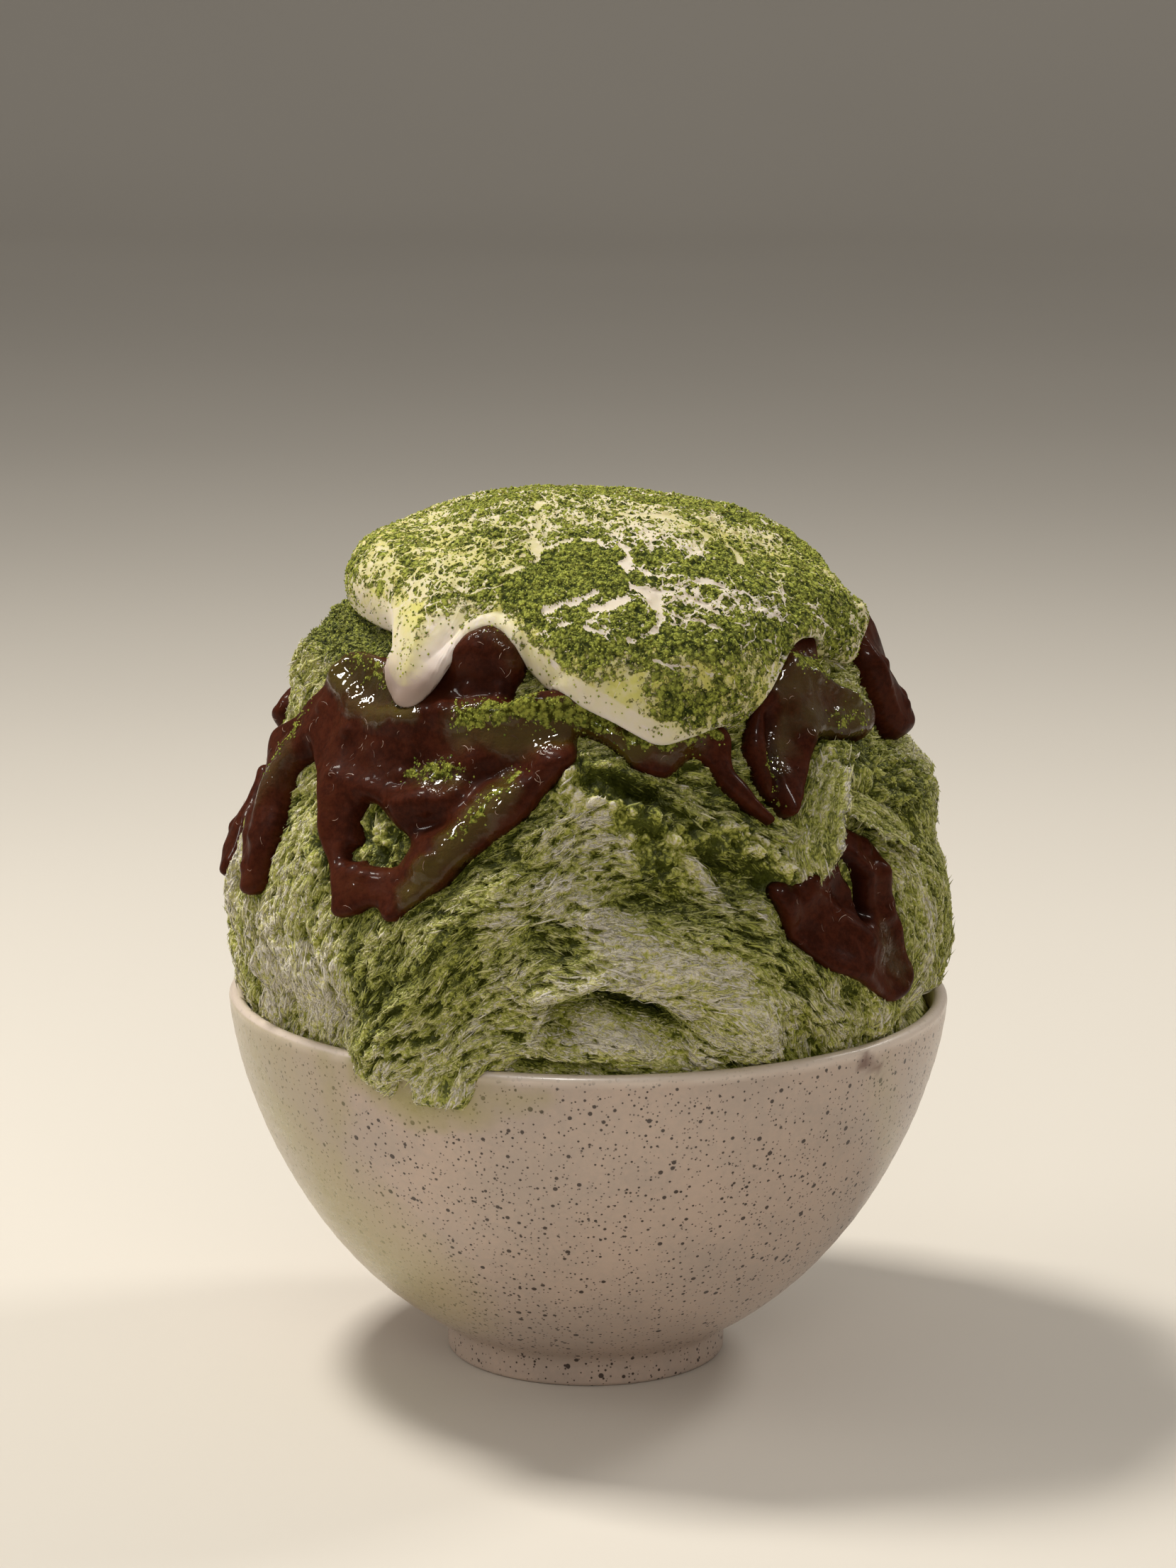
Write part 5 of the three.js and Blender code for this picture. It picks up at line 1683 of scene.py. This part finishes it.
def paste_material():
    look = settings().paste
    material, tree, surface = new_material(
        "sweet_bean_paste", roughness=0.4, subsurface_weight=0.1, subsurface_radius=(1.0, 0.35, 0.2),
        subsurface_scale=0.001, specular_ior_level=0.02, coat_roughness=0.05, coat_ior=1.36,
    )
    position = object_position(tree)
    cloud = noise_texture(tree, position, PASTE_CLOUDS, 4.0)
    fine = noise_texture(tree, position, PASTE_GRAIN, 4.0, 0.7)
    olive = attribute(tree, "olive")
    share = ranged(tree, maths(tree, "ADD", olive, maths(tree, "SUBTRACT", cloud, 0.5)), 0.0, 1.1)
    mottling = ranged(tree, maths(tree, "ADD", cloud, fine), 0.75, 1.2)
    colour = mixed(tree, mottling, tinted(look.paste, DARK_MOTTLING), look.paste)
    colour = mixed(tree, share, colour, look.stained)
    # Darker in the paste's hollows: painted shade.
    colour = mixed(tree, attribute(tree, "hollow_shade"), colour, tinted(look.paste, HOLLOW_SHADE))
    dust = powder(tree, position, attribute(tree, "cover"))
    colour = mixed(tree, dust["Mask"], colour, mixed(tree, 0.25, dust["Colour"], look.stained))
    wet = maths(tree, "MULTIPLY_ADD", cloud, 1.4, maths(tree, "SUBTRACT", olive, 0.7))
    wet = ranged(tree, wet, 0.1, 0.6)
    rolls = noise_texture(tree, position, PASTE_SOFT_ROLLS, 2.0, 0.5)
    grainy = maths(tree, "MULTIPLY", fine, maths(tree, "MULTIPLY_ADD", wet, 2.0, 0.3))
    height = maths(tree, "MULTIPLY_ADD", rolls, 0.8, grainy)
    height = maths(tree, "MULTIPLY_ADD", dust["Height"], 1.2, height)
    dull = ranged(tree, dust["Mask"], 0, 1, 0.4, 0.8)
    finish(tree, surface, colour, bumped(tree, height, 0.35, 0.6), dull)
    drops = noise_texture(tree, position, PASTE_DROPS, 1.0, 0.4)
    drops = maths(tree, "MULTIPLY", drops, maths(tree, "MULTIPLY_ADD", wet, 1.6, 0.25))
    tree.links.new(bumped(tree, drops, 0.4), surface["Coat Normal"])
    dry = maths(tree, "SUBTRACT", 1.0, maths(tree, "MULTIPLY", dust["Mask"], 0.85))
    coat = maths(tree, "MULTIPLY", dry, ranged(tree, wet, 0, 1, 0.12, 0.95))
    tree.links.new(coat, surface["Coat Weight"])
    return material


# Where syrup has stained the paste and powder has fallen on it: path, reach and amount.
STAINED_PASTE = (
    (((-23, 123), (-12, 122), (-2, 125), (6, 122)), 6, 0.75),
    (((-14, 114), (-21, 105), (-27, 97)), 4.5, 0.85),
    (((-30, 115), (-24, 115)), 4, 0.6),
    (((-56, 129), (-46, 128), (-37, 126)), 5.5, 0.9),
    (((-58, 127), (-50, 124), (-43, 122.5), (-34, 123.5)), 3, 0.6),
    (((8, 120), (18, 121)), 4, 0.7),
    (((34, 116), (38, 122)), 4, 0.6),
    (((44, 122), (52, 121), (58, 121)), 5, 0.7),
    (((40, 128), (52, 129), (60, 124)), 7, 0.6),
    (((-66, 114), (-68, 106)), 5, 0.5),
    (((-22, 136), (-14, 134)), 4, 0.4),
    (((52, 86), (55, 80)), 5, 0.5),
    (((-120, 121), (-108, 119)), 9, 0.5),
    (((140, 121), (156, 121)), 9, 0.5),
)
POWDERED_PASTE = (
    (((-23, 124), (-15, 125.5), (-7, 125.5), (1, 125.5)), 4.2, 0.75),
    (((2, 124), (8, 121.5), (16, 121), (22, 122.5)), 3.0, 0.5),
    (((-32, 115), (-27, 116.5), (-23, 116)), 3.0, 0.6),
    (((-12, 116.5), (-17, 111), (-21, 106)), 2.2, 0.5),
    (((6, 124), (9, 121.5)), 2, 0.45),
    (((13, 121), (17, 123.5), (22, 122.5)), 2.4, 0.7),
    (((46, 131), (53, 129.5), (61, 124.5)), 3.6, 0.75),
    (((50, 122), (58, 120.5)), 3, 0.45),
    (((-54, 130), (-45, 129), (-38, 127)), 3.6, 0.5),
    (((33, 118), (33, 110)), 1.8, 0.4),
    (((-22, 138), (-14, 136)), 3, 0.4),
    (((-66, 120), (-68, 112)), 4, 0.4),
    (((-128, 126), (-112, 125)), 6, 0.55),
    (((132, 127), (152, 127)), 7, 0.55),
)


@lru_cache(maxsize=None)
def paste_surfaces():
    """The points, faces and attributes of each piece of paste."""
    ripple = settings().paste.ripple / MM
    directions, triangles = fine_sphere(SPHERE_DETAIL)
    high = directions[:, 2] > math.cos(PASTE_LOWEST_ANGLE)
    triangles = triangles[high[triangles].all(axis=1)]
    near = np.flatnonzero(high)
    smooth = mound_points(directions)
    surfaces = {}
    for name, (thickness, runs, bare) in PASTE_PIECES.items():
        outline = np.full(len(directions), 99.0)
        outline[near] = paste_outline(directions[near], runs, bare)
        inside = np.flatnonzero(outline < 3)
        here = smooth[inside]
        ice, layer, hollow_shade = np.zeros((3, len(directions)))
        ice[inside] = ice_distance(directions[inside])
        uneven = 1 + 0.18 * swelling(here, 13, 4)
        cover = domed(outline[inside], thickness * uneven, PASTE_EDGE * (0.62 + 0.2 * noise(here, 8.0, 44)))
        share = np.clip(cover / thickness, 0, 1)
        rolling = sum(height * rough_noise(here, *field) for height, *field in PASTE_ROLLS)
        beans = np.clip(BEAN_SIZE - nearest_cells(here, BEAN_SPACING, 43), 0, 1) * BEAN_HEIGHT
        folded = folds_at(here, PASTE_FOLDS)
        layer[inside] = cover + share * (PASTE_FOLDING * folded + ripple * rolling + beans)
        # How much the paste's hollows are darkened as painted shade.
        hollow_shade[inside] = np.clip(-0.5 * folded, 0, 1)
        base = ice - PASTE_SINKS_IN
        top = np.maximum(ice + layer, base + 0.05)
        points, faces, used = patch(directions, triangles, outline, base, top)
        marks = {key: np.zeros(len(points)) for key in ("top", "hollow_shade", "olive", "cover")}
        marks["top"][: len(used)] = share[np.searchsorted(inside, used)]
        marks["hollow_shade"][: len(used)] = hollow_shade[used]
        spots = np.concatenate([smooth[used], smooth[used]])
        for key, folds, seed in (("olive", STAINED_PASTE, 51), ("cover", POWDERED_PASTE, 52)):
            wandered = shaken(spots, STAIN_WANDER, 3.0, (seed, seed + 10, seed + 20))
            amount = folds_at(wandered, folds)
            marks[key][: len(spots)] = np.clip(amount, 0, 1)
        surfaces[name] = points + UP * MOUND_CENTRE, faces, marks
    return surfaces


class MakePaste(bpy.types.Operator):
    """Run glossy bean paste down the sides of the ice"""

    bl_idname = "dessert.make_paste"
    bl_label = "Bean paste"

    def execute(self, context):
        material = paste_material()
        for name, surface in paste_surfaces().items():
            dress(make_mesh(f"{name}_glossy", *surface), material, "bean_paste", name)
        return {"FINISHED"}


class ScatterSkins(bpy.types.Operator):
    """Strew small curls of bean skin over the paste"""

    bl_idname = "dessert.scatter_skins"
    bl_label = "Bean skins"

    def execute(self, context):
        points, faces, marks = joined(paste_surfaces().values())
        patchy = smoothstep(-0.35, 0.5, noise(points, 9.0, 55)) * smoothstep(0.7, 0.95, marks["top"])
        along = np.tile(UP, (len(points), 1))
        host = make_mesh("skins_host", points, faces, {"seen": patchy, "along": along})
        material, tree, surface = new_material("bean_skin", roughness=0.25, specular_ior_level=0.6)
        finish(tree, surface, mixed(tree, attribute(tree, "tint"), DARK_SKIN, PALE_SKIN))
        curl = [(0.5 * math.cos(t), 0.5 * math.sin(t), 0.02) for t in np.radians([20, 55, 85, 115, 160])]
        shape = strip_mesh("skin_shape", curl, 0.09)
        scatter(host, "bean_skin_curls", shavings_tree(), shape, "bean_paste", {
            "Per area": SKINS_PER_MM2 / MM**2, "Length": 2.0 * MM, "Width": 1.1 * MM, "Turn": math.pi,
            "Tilt": 0.1, "Roll": 0.1, "Lift": 0.05 * MM, "Seed": 9, "Material": material,
        })
        discard(host)
        return {"FINISHED"}


# ---- Cream --------------------------------------------------------------------------------------

CREAM_COLUMNS = 640
CREAM_ROWS = 120
ROLL_ROWS = 22
# How far the hem is from the mound's centre, and how far round it rolls under.
HEM_DISTANCE = 62
HEM_ROLL = math.pi * 0.94
CREAM_SINKS_IN = 0.4
CLUMP_SPACING = 1.3
# Noise on the cream, as (height, spacing, seed): its own unevenness, and where it breaks into lace.
CREAM_UNEVENNESS = ((0.35, 14.0, 71), (0.2, 6.0, 72))
LACE_PATCHES = ((0.3, 13.0, 66), (0.5, 5.0, 65))

# What the film's colour is multiplied by where powder lies on it, and the cream's for painted shade on its
# hanging tongue.
DEEP_FILM = (0.66, 0.66, 0.3)
SHADE_ON_CREAM = (0.4, 0.34, 0.31)
# The lace's two nets of cracks: spacing as a share of the setting, how much the lace opens them, and how
# far they stay closed.
LACE = ((1.0, 0.75, 0.18), (0.5, 0.55, 0.26))
# Spacings in millimetres of the ragged edges of the cracks and of the patches in the film.
CRACK_EDGES = 1.1
FILM_PATCHES = 2.5

# Cracks in the powder on the cream: path as (azimuth, angle down from the top), and half width.
CRACKS = (
    (((-27, 32), (-20, 29), (-14, 26), (-6, 24.5), (1, 24), (5, 26), (10, 25)), 0.6),
    (((10, 24.5), (10.5, 27), (11, 29), (10, 31.5)), 1.2),
    (((10, 31), (9, 34), (10.5, 36)), 0.5),
    (((11, 30), (14, 33), (20, 35), (29, 36), (36, 38)), 0.55),
    (((-9, 40), (-5, 39), (0, 37)), 0.7),
    (((1, 41), (6, 39), (10, 36.5), (14, 37), (19, 38)), 0.95),
    (((19, 38), (24, 40), (27, 42)), 0.5),
    (((14, 37.5), (14.5, 41), (12, 44), (7, 46)), 0.65),
    (((14.5, 41), (20, 43), (26, 45)), 0.35),
    (((-7, 43), (-2, 44), (3, 45)), 0.4),
    (((3, 45), (8, 48), (14, 50), (22, 51)), 0.3),
    (((24, 40), (30, 43), (36, 47)), 0.35),
    (((-40, 12), (-28, 16), (-24, 20), (-21, 25), (-16, 29)), 0.6),
    (((-21, 25), (-30, 28), (-38, 31)), 0.5),
    (((-14, 27), (-10, 21), (4, 17), (16, 15)), 0.4),
    (((14, 15), (32, 16), (46, 19), (45, 25)), 0.8),
    (((61, 21), (50, 24), (50, 28), (46, 32)), 0.7),
    (((45, 25), (36, 27), (28, 30), (20, 31)), 0.4),
    (((50, 28), (56, 31), (62, 36)), 0.5),
    (((-25, 35), (-21, 33), (-16, 30)), 0.45),
    (((120, 20), (135, 26), (150, 24)), 0.6),
    (((-150, 22), (-140, 30), (-120, 32)), 0.6),
    (((165, 34), (180, 38), (-170, 36)), 0.5),
)

# How far up from the cream's hem the powder starts, as (azimuth, distance along the face).
BARE_HEM = (
    (-180, -3), (-140, -1), (-110, -3), (-66, -4), (-54, -3), (-46, -1), (-41, 1), (-35, 2.5),
    (-30, 2.5), (-26, -1.5), (-18, -3), (-8, -3), (2, -1.8), (9, -1.4), (14, -3), (20, -5), (60, -5),
    (140, -1), (180, -3),
)

# Path, reach and amount: where the powder is broken into lace, and how much thinner than full it lies.
LACY_CREAM = (
    (((-100, 24), (-75, 26), (-50, 27), (-28, 26)), 15, 0.55),
    (((-62, 36), (-45, 36), (-30, 34)), 9, 0.45),
    (((-60, 8), (-20, 14), (10, 16), (20, 22)), 12, 0.5),
    (((34, 20), (60, 22), (72, 32)), 13, 0.6),
    (((16, 38), (30, 40), (44, 40)), 8, 0.3),
    (((-12, 35), (-2, 32), (4, 34)), 6, -1.0),
    (((14, 33), (24, 38), (34, 42)), 8, 0.35),
    (((6, 50), (24, 50)), 10, -0.3),
    (((130, 24), (170, 30)), 14, 0.6),
    (((-150, 26), (-120, 30)), 14, 0.5),
)
# Where what shows of the cream is tinged with tea, and where its hanging tongue is darkened as painted
# shade.
TINGED_CREAM = (
    (((-110, 30), (-75, 32), (-50, 32), (-34, 30)), 20, 0.9),
    (((-40, 10), (0, 14), (40, 16)), 14, 0.5),
    (((56, 28), (74, 38), (90, 40)), 15, 0.9),
)
# Painted shade on the hanging tongue.
SHADED_TONGUE = (
    (((-43, 127), (-37.5, 124.5), (-32, 126.5)), 8, 1.0),
)
THIN_POWDER = (
    (((-80, 30), (-62, 36), (-45, 40)), 13, -0.3),
    (((-50, 30), (-34, 32)), 9, -0.14),
    (((-42, 44), (-36, 50), (-35, 55)), 8, -0.3),
    (((-24, 40), (-10, 46), (2, 52), (10, 57)), 6.5, -0.28),
    (((8, 51), (24, 52), (34, 50)), 7, -0.5),
    (((48, 36), (58, 40), (66, 40)), 8, -0.25),
    (((-88, 34), (-84, 38)), 8, -0.3),
    (((120, 44), (128, 50)), 8, -0.3),
    (((-135, 44), (-134, 50)), 8, -0.3),
)


def cap_path(path):
    """A path of (azimuth, angle down from the top) as points of the smooth mound."""
    turn, angle = np.radians(np.array(path, float)).T
    return np.column_stack([mound_points(direction_of(turn, angle)), np.zeros(len(turn))])


def cream_hem(columns):
    """Each column's azimuth and the angle down from straight up at which the cream ends, in radians."""
    turn = np.linspace(-180, 180, columns, endpoint=False)
    turns, heights, _ = hem_line()
    line = place_path(np.column_stack([turn, np.interp(turn, turns, heights)]))
    return np.radians(turn), np.arctan2(np.hypot(line[:, 0], line[:, 1]), line[:, 2])


def powder_cracks(smooth):
    """How open the powder's crust is at the large cracks: 1 in the middle of one, 0 away from any."""
    warped = shaken(smooth, 1.6, 5.0, (61, 62, 63), 3, 0.6)
    drawn = np.full(len(smooth), -1.0)
    spread = 0.95 + 0.9 * noise(smooth, 3.4, 69)
    for path, half in CRACKS:
        away = away_from(warped, cap_path(path))
        drawn = np.maximum(drawn, 1 - away / (half * spread))
    gaps = 0.3 * noise(smooth, 5.0, 67) + 0.5 * rough_noise(smooth, 2.0, 68, 3, 0.7)
    return smoothstep(0.05, 0.5, 0.8 * np.clip(drawn, -1, 1) + 0.2 + gaps)


@lru_cache(maxsize=None)
def cream_surface():
    """The cream's points, faces and attributes: a blanket whose hem rolls under."""
    turn, hem = cream_hem(CREAM_COLUMNS)
    edge_angle = CREAM_EDGE / HEM_DISTANCE
    spread = np.linspace(0, 1, CREAM_ROWS + 1)[1:] ** 0.92
    flat = [(hem - edge_angle) * s for s in spread]
    bends = np.linspace(0, HEM_ROLL, ROLL_ROWS + 1)[1:]
    rolled = [hem - edge_angle * (1 - math.sin(bend)) for bend in bends]
    under = [hem * share for share in (0.7, 0.4, 0.15)]
    angles = np.concatenate([flat, rolled, [hem - edge_angle * 1.6], under])
    share_down = np.concatenate([np.zeros(CREAM_ROWS), [(1 - math.cos(b)) / 2 for b in bends], np.ones(4)])
    directions = with_poles(UP, direction_of(np.tile(turn, len(angles)), angles.ravel()), UP)
    down = with_poles(0.0, np.repeat(share_down, CREAM_COLUMNS), 1.0)
    smooth = mound_points(directions)
    ice = ice_distance(directions)
    paste, _ = all_paste(directions)
    below = ice + paste + 0.4 * np.clip(paste, 0, 1)
    inward = -cream_outline(directions)
    full = CREAM_THICKNESS + folds_at(smooth, CREAM_SWELLS)
    level = CREAM_HEM_THICKNESS + domed(-inward, full - CREAM_HEM_THICKNESS, CREAM_SHOULDER)
    blanket = mound_distance(directions) + level + 0.5 * swelling(smooth, 34, 5)
    above = -blended_min(-blanket, -below - CREAM_LEAST, 4.0)
    below = np.minimum(below, above - CREAM_LEAST)
    distance = above + (below - CREAM_SINKS_IN - above) * down
    points = directions * distance[:, None]
    faces = lathe_faces(len(angles), CREAM_COLUMNS)
    uneven = noises(points, *CREAM_UNEVENNESS)
    cover = 0.95 + folds_at(smooth, THIN_POWDER, cap_path) + 0.2 * rough_noise(points, 7.0, 73)
    band = np.interp(np.degrees(azimuths(directions)), *np.array(BARE_HEM, float).T)
    up_face = np.where(down > 0, -1.4 * CREAM_EDGE * down, inward) + 0.9 * rough_noise(points, 4.0, 75)
    film = smoothstep(band - 1.5, band + 6, up_face)
    cover = np.clip(cover, 0, 1) * smoothstep(band - 0.5, band + 9, up_face) ** 0.7
    lace = 0.25 + 0.8 * np.minimum(folds_at(smooth, LACY_CREAM, cap_path), 0.8)
    lace += noises(points, *LACE_PATCHES)
    crack = powder_cracks(smooth)
    thick = cover * (1 - crack)
    warped = shaken(points, 0.9, 2.0, (77, 78, 79))
    clumps = np.clip(1.25 - nearest_cells(warped, CLUMP_SPACING, 74) * 1.5, 0, 1)
    clumps = clumps + 0.4 * noise(points, 3.0, 76)
    raised = uneven * (1 - 0.6 * down) + settings().cream.powder_depth / MM * thick * clumps
    points = points + directions * (raised * (down < 0.95))[:, None] + UP * MOUND_CENTRE
    whole = (1 - crack) * (1 - 0.4 * np.clip(lace, 0, 1))
    tinge = np.clip(folds_at(smooth, TINGED_CREAM, cap_path), 0, 1)
    # Painted shade on the hanging tongue.
    tongue_shade = np.clip(folds_at(smooth, SHADED_TONGUE), 0, 1)
    marks = {"cover": cover, "crack": crack, "whole": whole, "lace": lace, "film": film}
    return points, faces, {**marks, "tinge": tinge, "tongue_shade": tongue_shade}


def cream_material():
    look = settings().cream
    material, tree, surface = new_material(
        "powdered_cream", roughness=0.5, subsurface_weight=0.3, subsurface_radius=(1.0, 0.7, 0.45),
        subsurface_scale=0.003, specular_ior_level=0.12,
    )
    position = object_position(tree)
    spacing = look.crack_spacing / MM
    moved = wandering(tree, position, spacing / 0.4, spacing * 1.6, 4.0)
    crack = attribute(tree, "crack")
    for share, width, least in LACE:
        edge = cells(tree, moved, spacing * share, "DISTANCE_TO_EDGE")["Distance"]
        gap = maths(tree, "MULTIPLY_ADD", edge, -spacing * share, -least)
        gap = maths(tree, "MULTIPLY_ADD", attribute(tree, "lace"), width, gap)
        crack = maths(tree, "MAXIMUM", crack, maths(tree, "MULTIPLY_ADD", gap, 1.6, 0.45))
    ragged = maths(tree, "SUBTRACT", noise_texture(tree, position, CRACK_EDGES, 3.0, 0.65), 0.5)
    crack = maths(tree, "MULTIPLY_ADD", ragged, 1.6, crack)
    whole = maths(tree, "SUBTRACT", 1.0, ranged(tree, crack, 0.4, 0.65))
    cover = attribute(tree, "cover")
    dust = powder(tree, position, maths(tree, "MULTIPLY", cover, whole))
    patchy = noise_texture(tree, position, FILM_PATCHES, 4.0)
    patchy = ranged(tree, patchy, 0.35, 0.6, 0.6, 1.0)
    veil = maths(tree, "MULTIPLY", attribute(tree, "film"), patchy)
    tinge = maths(tree, "MULTIPLY_ADD", attribute(tree, "tinge"), 0.75, 0.2)
    veil = maths(tree, "MULTIPLY", veil, maths(tree, "MAXIMUM", whole, tinge))
    film = mixed(tree, cover, look.film, tinted(look.film, DEEP_FILM))
    # Darker on the hanging tongue: painted shade.
    cream = mixed(tree, attribute(tree, "tongue_shade"), look.cream, tinted(look.cream, SHADE_ON_CREAM))
    colour = mixed(tree, dust["Mask"], mixed(tree, veil, cream, film), dust["Colour"])
    dull = ranged(tree, dust["Mask"], 0, 1, 0.45, 0.9)
    finish(tree, surface, colour, bumped(tree, dust["Height"], 0.65), dull)
    return material


class MakeCream(bpy.types.Operator):
    """Lay the blanket of whipped cream over the top, with cracked powder on it"""

    bl_idname = "dessert.make_cream"
    bl_label = "Cream"

    def execute(self, context):
        blanket = make_mesh("cream_blanket_soft", *cream_surface())
        dress(blanket, cream_material(), "cream", "cream_blanket")
        return {"FINISHED"}


# ---- Loose powder -------------------------------------------------------------------------------


GRAIN_SIZES = {"Smallest": 0.28 * MM, "Largest": 0.7 * MM}


def fall_anyhow(tree, given, normal):
    """Each grain is turned and sized at random."""
    turn = random_number(tree, (-3.1, -3.1, -3.1), (3.1, 3.1, 3.1), 2, "FLOAT_VECTOR")
    rotation = add(tree, "FunctionNodeEulerToRotation", {0: turn}).outputs[0]
    return rotation, random_number(tree, given["Smallest"], given["Largest"], 3), None


def grain_mesh():
    """One eight-sided grain, a unit across and a little uneven."""
    middle = [(0.5, 0, 0.05), (0, 0.42, 0), (-0.5, 0.05, 0), (0, -0.46, 0.04)]
    points = np.array([*middle, (0.04, 0, 0.4), (0, 0.03, -0.4)])
    faces = [(k, (k + 1) % 4, 4) for k in range(4)] + [((k + 1) % 4, k, 5) for k in range(4)]
    return make_mesh("grain_shape", points / MM, np.array(faces), smooth=False)


def grain_material():
    look = settings().cream
    material, tree, surface = new_material("powder_grain", roughness=0.95, specular_ior_level=0.2)
    dark, light = tinted(look.powder_dark, 3.5), tinted(look.powder_light, 1.25)
    finish(tree, surface, mixed(tree, attribute(tree, "tint"), dark, light))
    return material


class SiftPowder(bpy.types.Operator):
    """Sift loose grains of green tea powder over the cream, the paste and the ice"""

    bl_idname = "dessert.sift_powder"
    bl_label = "Tea powder"

    def execute(self, context):
        look = settings().cream
        surfaces = list(paste_surfaces().values())
        for (points, faces, marks), weight in ((ice_surface(), "seen"), (cream_surface(), "whole")):
            surfaces.append((points, faces, {"cover": marks["cover"] * marks[weight]}))
        points, faces, marks = joined(surfaces)
        host = make_mesh("powder_host", points, faces, marks)
        tree = scatter_tree("sift_powder", dict.fromkeys(GRAIN_SIZES, "Float"), "cover", 4, fall_anyhow)
        per_area = look.grains / weighted_area(points, faces, marks["cover"])
        scatter(host, "tea_powder_grains", tree, grain_mesh(), "cream", {
            "Per area": per_area, **GRAIN_SIZES, "Seed": 5, "Material": grain_material(),
        })
        discard(host)
        return {"FINISHED"}


# ---- Stage --------------------------------------------------------------------------------------


def floor_mesh():
    """A pale floor that curves up into a backdrop far behind."""
    half, front, back, radius, top = 4000.0, -4200.0, 2600.0, 900.0, 4200.0
    bend = arc((back, radius), (radius, radius), 270, 360, 24)
    section = [(front, 0.0), (-600.0, 0.0), (600.0, 0.0), *bend, (back + radius, top)]
    points = [(side, y, z) for y, z in section for side in (-half, half)]
    faces = [(2 * k, 2 * k + 1, 2 * k + 3, 2 * k + 2) for k in range(len(section) - 1)]
    return make_mesh("studio_floor", np.array(points), np.array(faces))


# The lights: place in metres, size in metres, power in watts, colour, and whether matt and shiny surfaces
# show them.
LIGHTS = {
    "key": ((-0.36, 0.15, 0.93), (0.2, 0.16), 8.0, (1.0, 0.95, 0.86), True, True),
    "right": ((0.6, 0.35, 0.7), (0.2, 0.2), 2.5, (1.0, 0.96, 0.9), True, True),
    "front": ((0.1, -1.15, 0.75), (0.7, 0.5), 2.9, (1.0, 0.93, 0.84), True, False),
    "left": ((-0.95, -0.1, 0.45), (0.4, 0.7), 1.9, (1.0, 0.93, 0.83), True, False),
    "sparkle_front": ((-0.1, -0.5, 0.9), (0.16, 0.12), 5.5, (1.0, 0.97, 0.92), False, True),
    "sparkle_left": ((-0.6, -0.2, 0.75), (0.16, 0.12), 3.2, (1.0, 0.97, 0.92), False, True),
}
LIGHTS_AIM = Vector((0, 0, 0.09))
AIR_COLOUR = (1.0, 0.95, 0.88, 1)
AIR_STRENGTH = 0.26


def area_light(name, place, size, power, colour, on_matt, on_shiny):
    data = bpy.data.lights.new(name, "AREA")
    data.shape = "RECTANGLE"
    data.size, data.size_y = size
    data.energy = power
    data.color = colour
    light = bpy.data.objects.new(name, data)
    bpy.context.collection.objects.link(light)
    light.location = place
    light.rotation_euler = (LIGHTS_AIM - Vector(place)).to_track_quat("-Z", "Y").to_euler()
    light.visible_diffuse = on_matt
    light.visible_glossy = on_shiny


class MakeStage(bpy.types.Operator):
    """Set the floor, the soft lights and the camera"""

    bl_idname = "dessert.make_stage"
    bl_label = "Stage"

    def execute(self, context):
        look = settings().stage
        material, tree, surface = new_material("studio_paper", roughness=0.75, specular_ior_level=0.2)
        drift = noise_texture(tree, object_position(tree), 600.0, 2.0)
        shade = ranged(tree, drift, 0.3, 0.7)
        finish(tree, surface, mixed(tree, shade, tinted(look.floor, 0.97), look.floor))
        floor = floor_mesh()
        floor.data.materials.append(material)
        for name, light in LIGHTS.items():
            area_light(name, *light)
        world = bpy.data.worlds.new("studio_air")
        world.use_nodes = True
        air = world.node_tree.nodes["Background"].inputs
        air["Color"].default_value = AIR_COLOUR
        air["Strength"].default_value = AIR_STRENGTH
        scene = context.scene
        scene.world = world
        scene.view_settings.view_transform = "Standard"
        data = bpy.data.cameras.new("camera")
        data.lens = look.lens
        data.sensor_width = 36.0
        data.clip_start, data.clip_end = 0.05, 50.0
        camera = bpy.data.objects.new("camera", data)
        context.collection.objects.link(camera)
        turn = Matrix.Rotation(math.pi / 2 - look.tilt, 4, "X") @ Matrix.Rotation(look.roll, 4, "Z")
        camera.matrix_world = Matrix.Translation((look.sideways, -look.distance, look.height)) @ turn
        scene.camera = camera
        return {"FINISHED"}


# ---- Panel and run ------------------------------------------------------------------------------

STEPS = (MakeBowl, MakeIce, ScatterShavings, MakePaste, ScatterSkins, MakeCream, SiftPowder, MakeStage)


class DessertPanel(bpy.types.Panel):
    """Lists the pieces of the dessert and their settings"""

    bl_idname = "VIEW3D_PT_dessert"
    bl_label = "Shaved Ice Dessert"
    bl_space_type = "VIEW_3D"
    bl_region_type = "UI"
    bl_category = "Dessert"

    def draw(self, context):
        for step in STEPS:
            self.layout.operator(step.bl_idname)
        for name in ("Bowl", "Ice", "Paste", "Cream", "Stage"):
            group = getattr(settings(), name.lower())
            box = self.layout.box()
            box.label(text=name)
            for key in group.bl_rna.properties.keys():
                if key not in ("rna_type", "name"):
                    box.prop(group, key)


GROUPS = (BowlSettings, IceSettings, PasteSettings, CreamSettings, StageSettings, DessertSettings)
CLASSES = (*GROUPS, *STEPS, DessertPanel)


def register():
    for cls in CLASSES:
        bpy.utils.register_class(cls)
    bpy.types.Scene.dessert = bpy.props.PointerProperty(
        name="Dessert", description="Sizes and colours of the dessert", type=DessertSettings
    )


def unregister():
    del bpy.types.Scene.dessert
    for cls in reversed(CLASSES):
        bpy.utils.unregister_class(cls)


def main():
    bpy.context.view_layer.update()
    register()
    for step in STEPS:
        group, name = step.bl_idname.split(".")
        getattr(getattr(bpy.ops, group), name)()


if __name__ == "__main__":
    main()
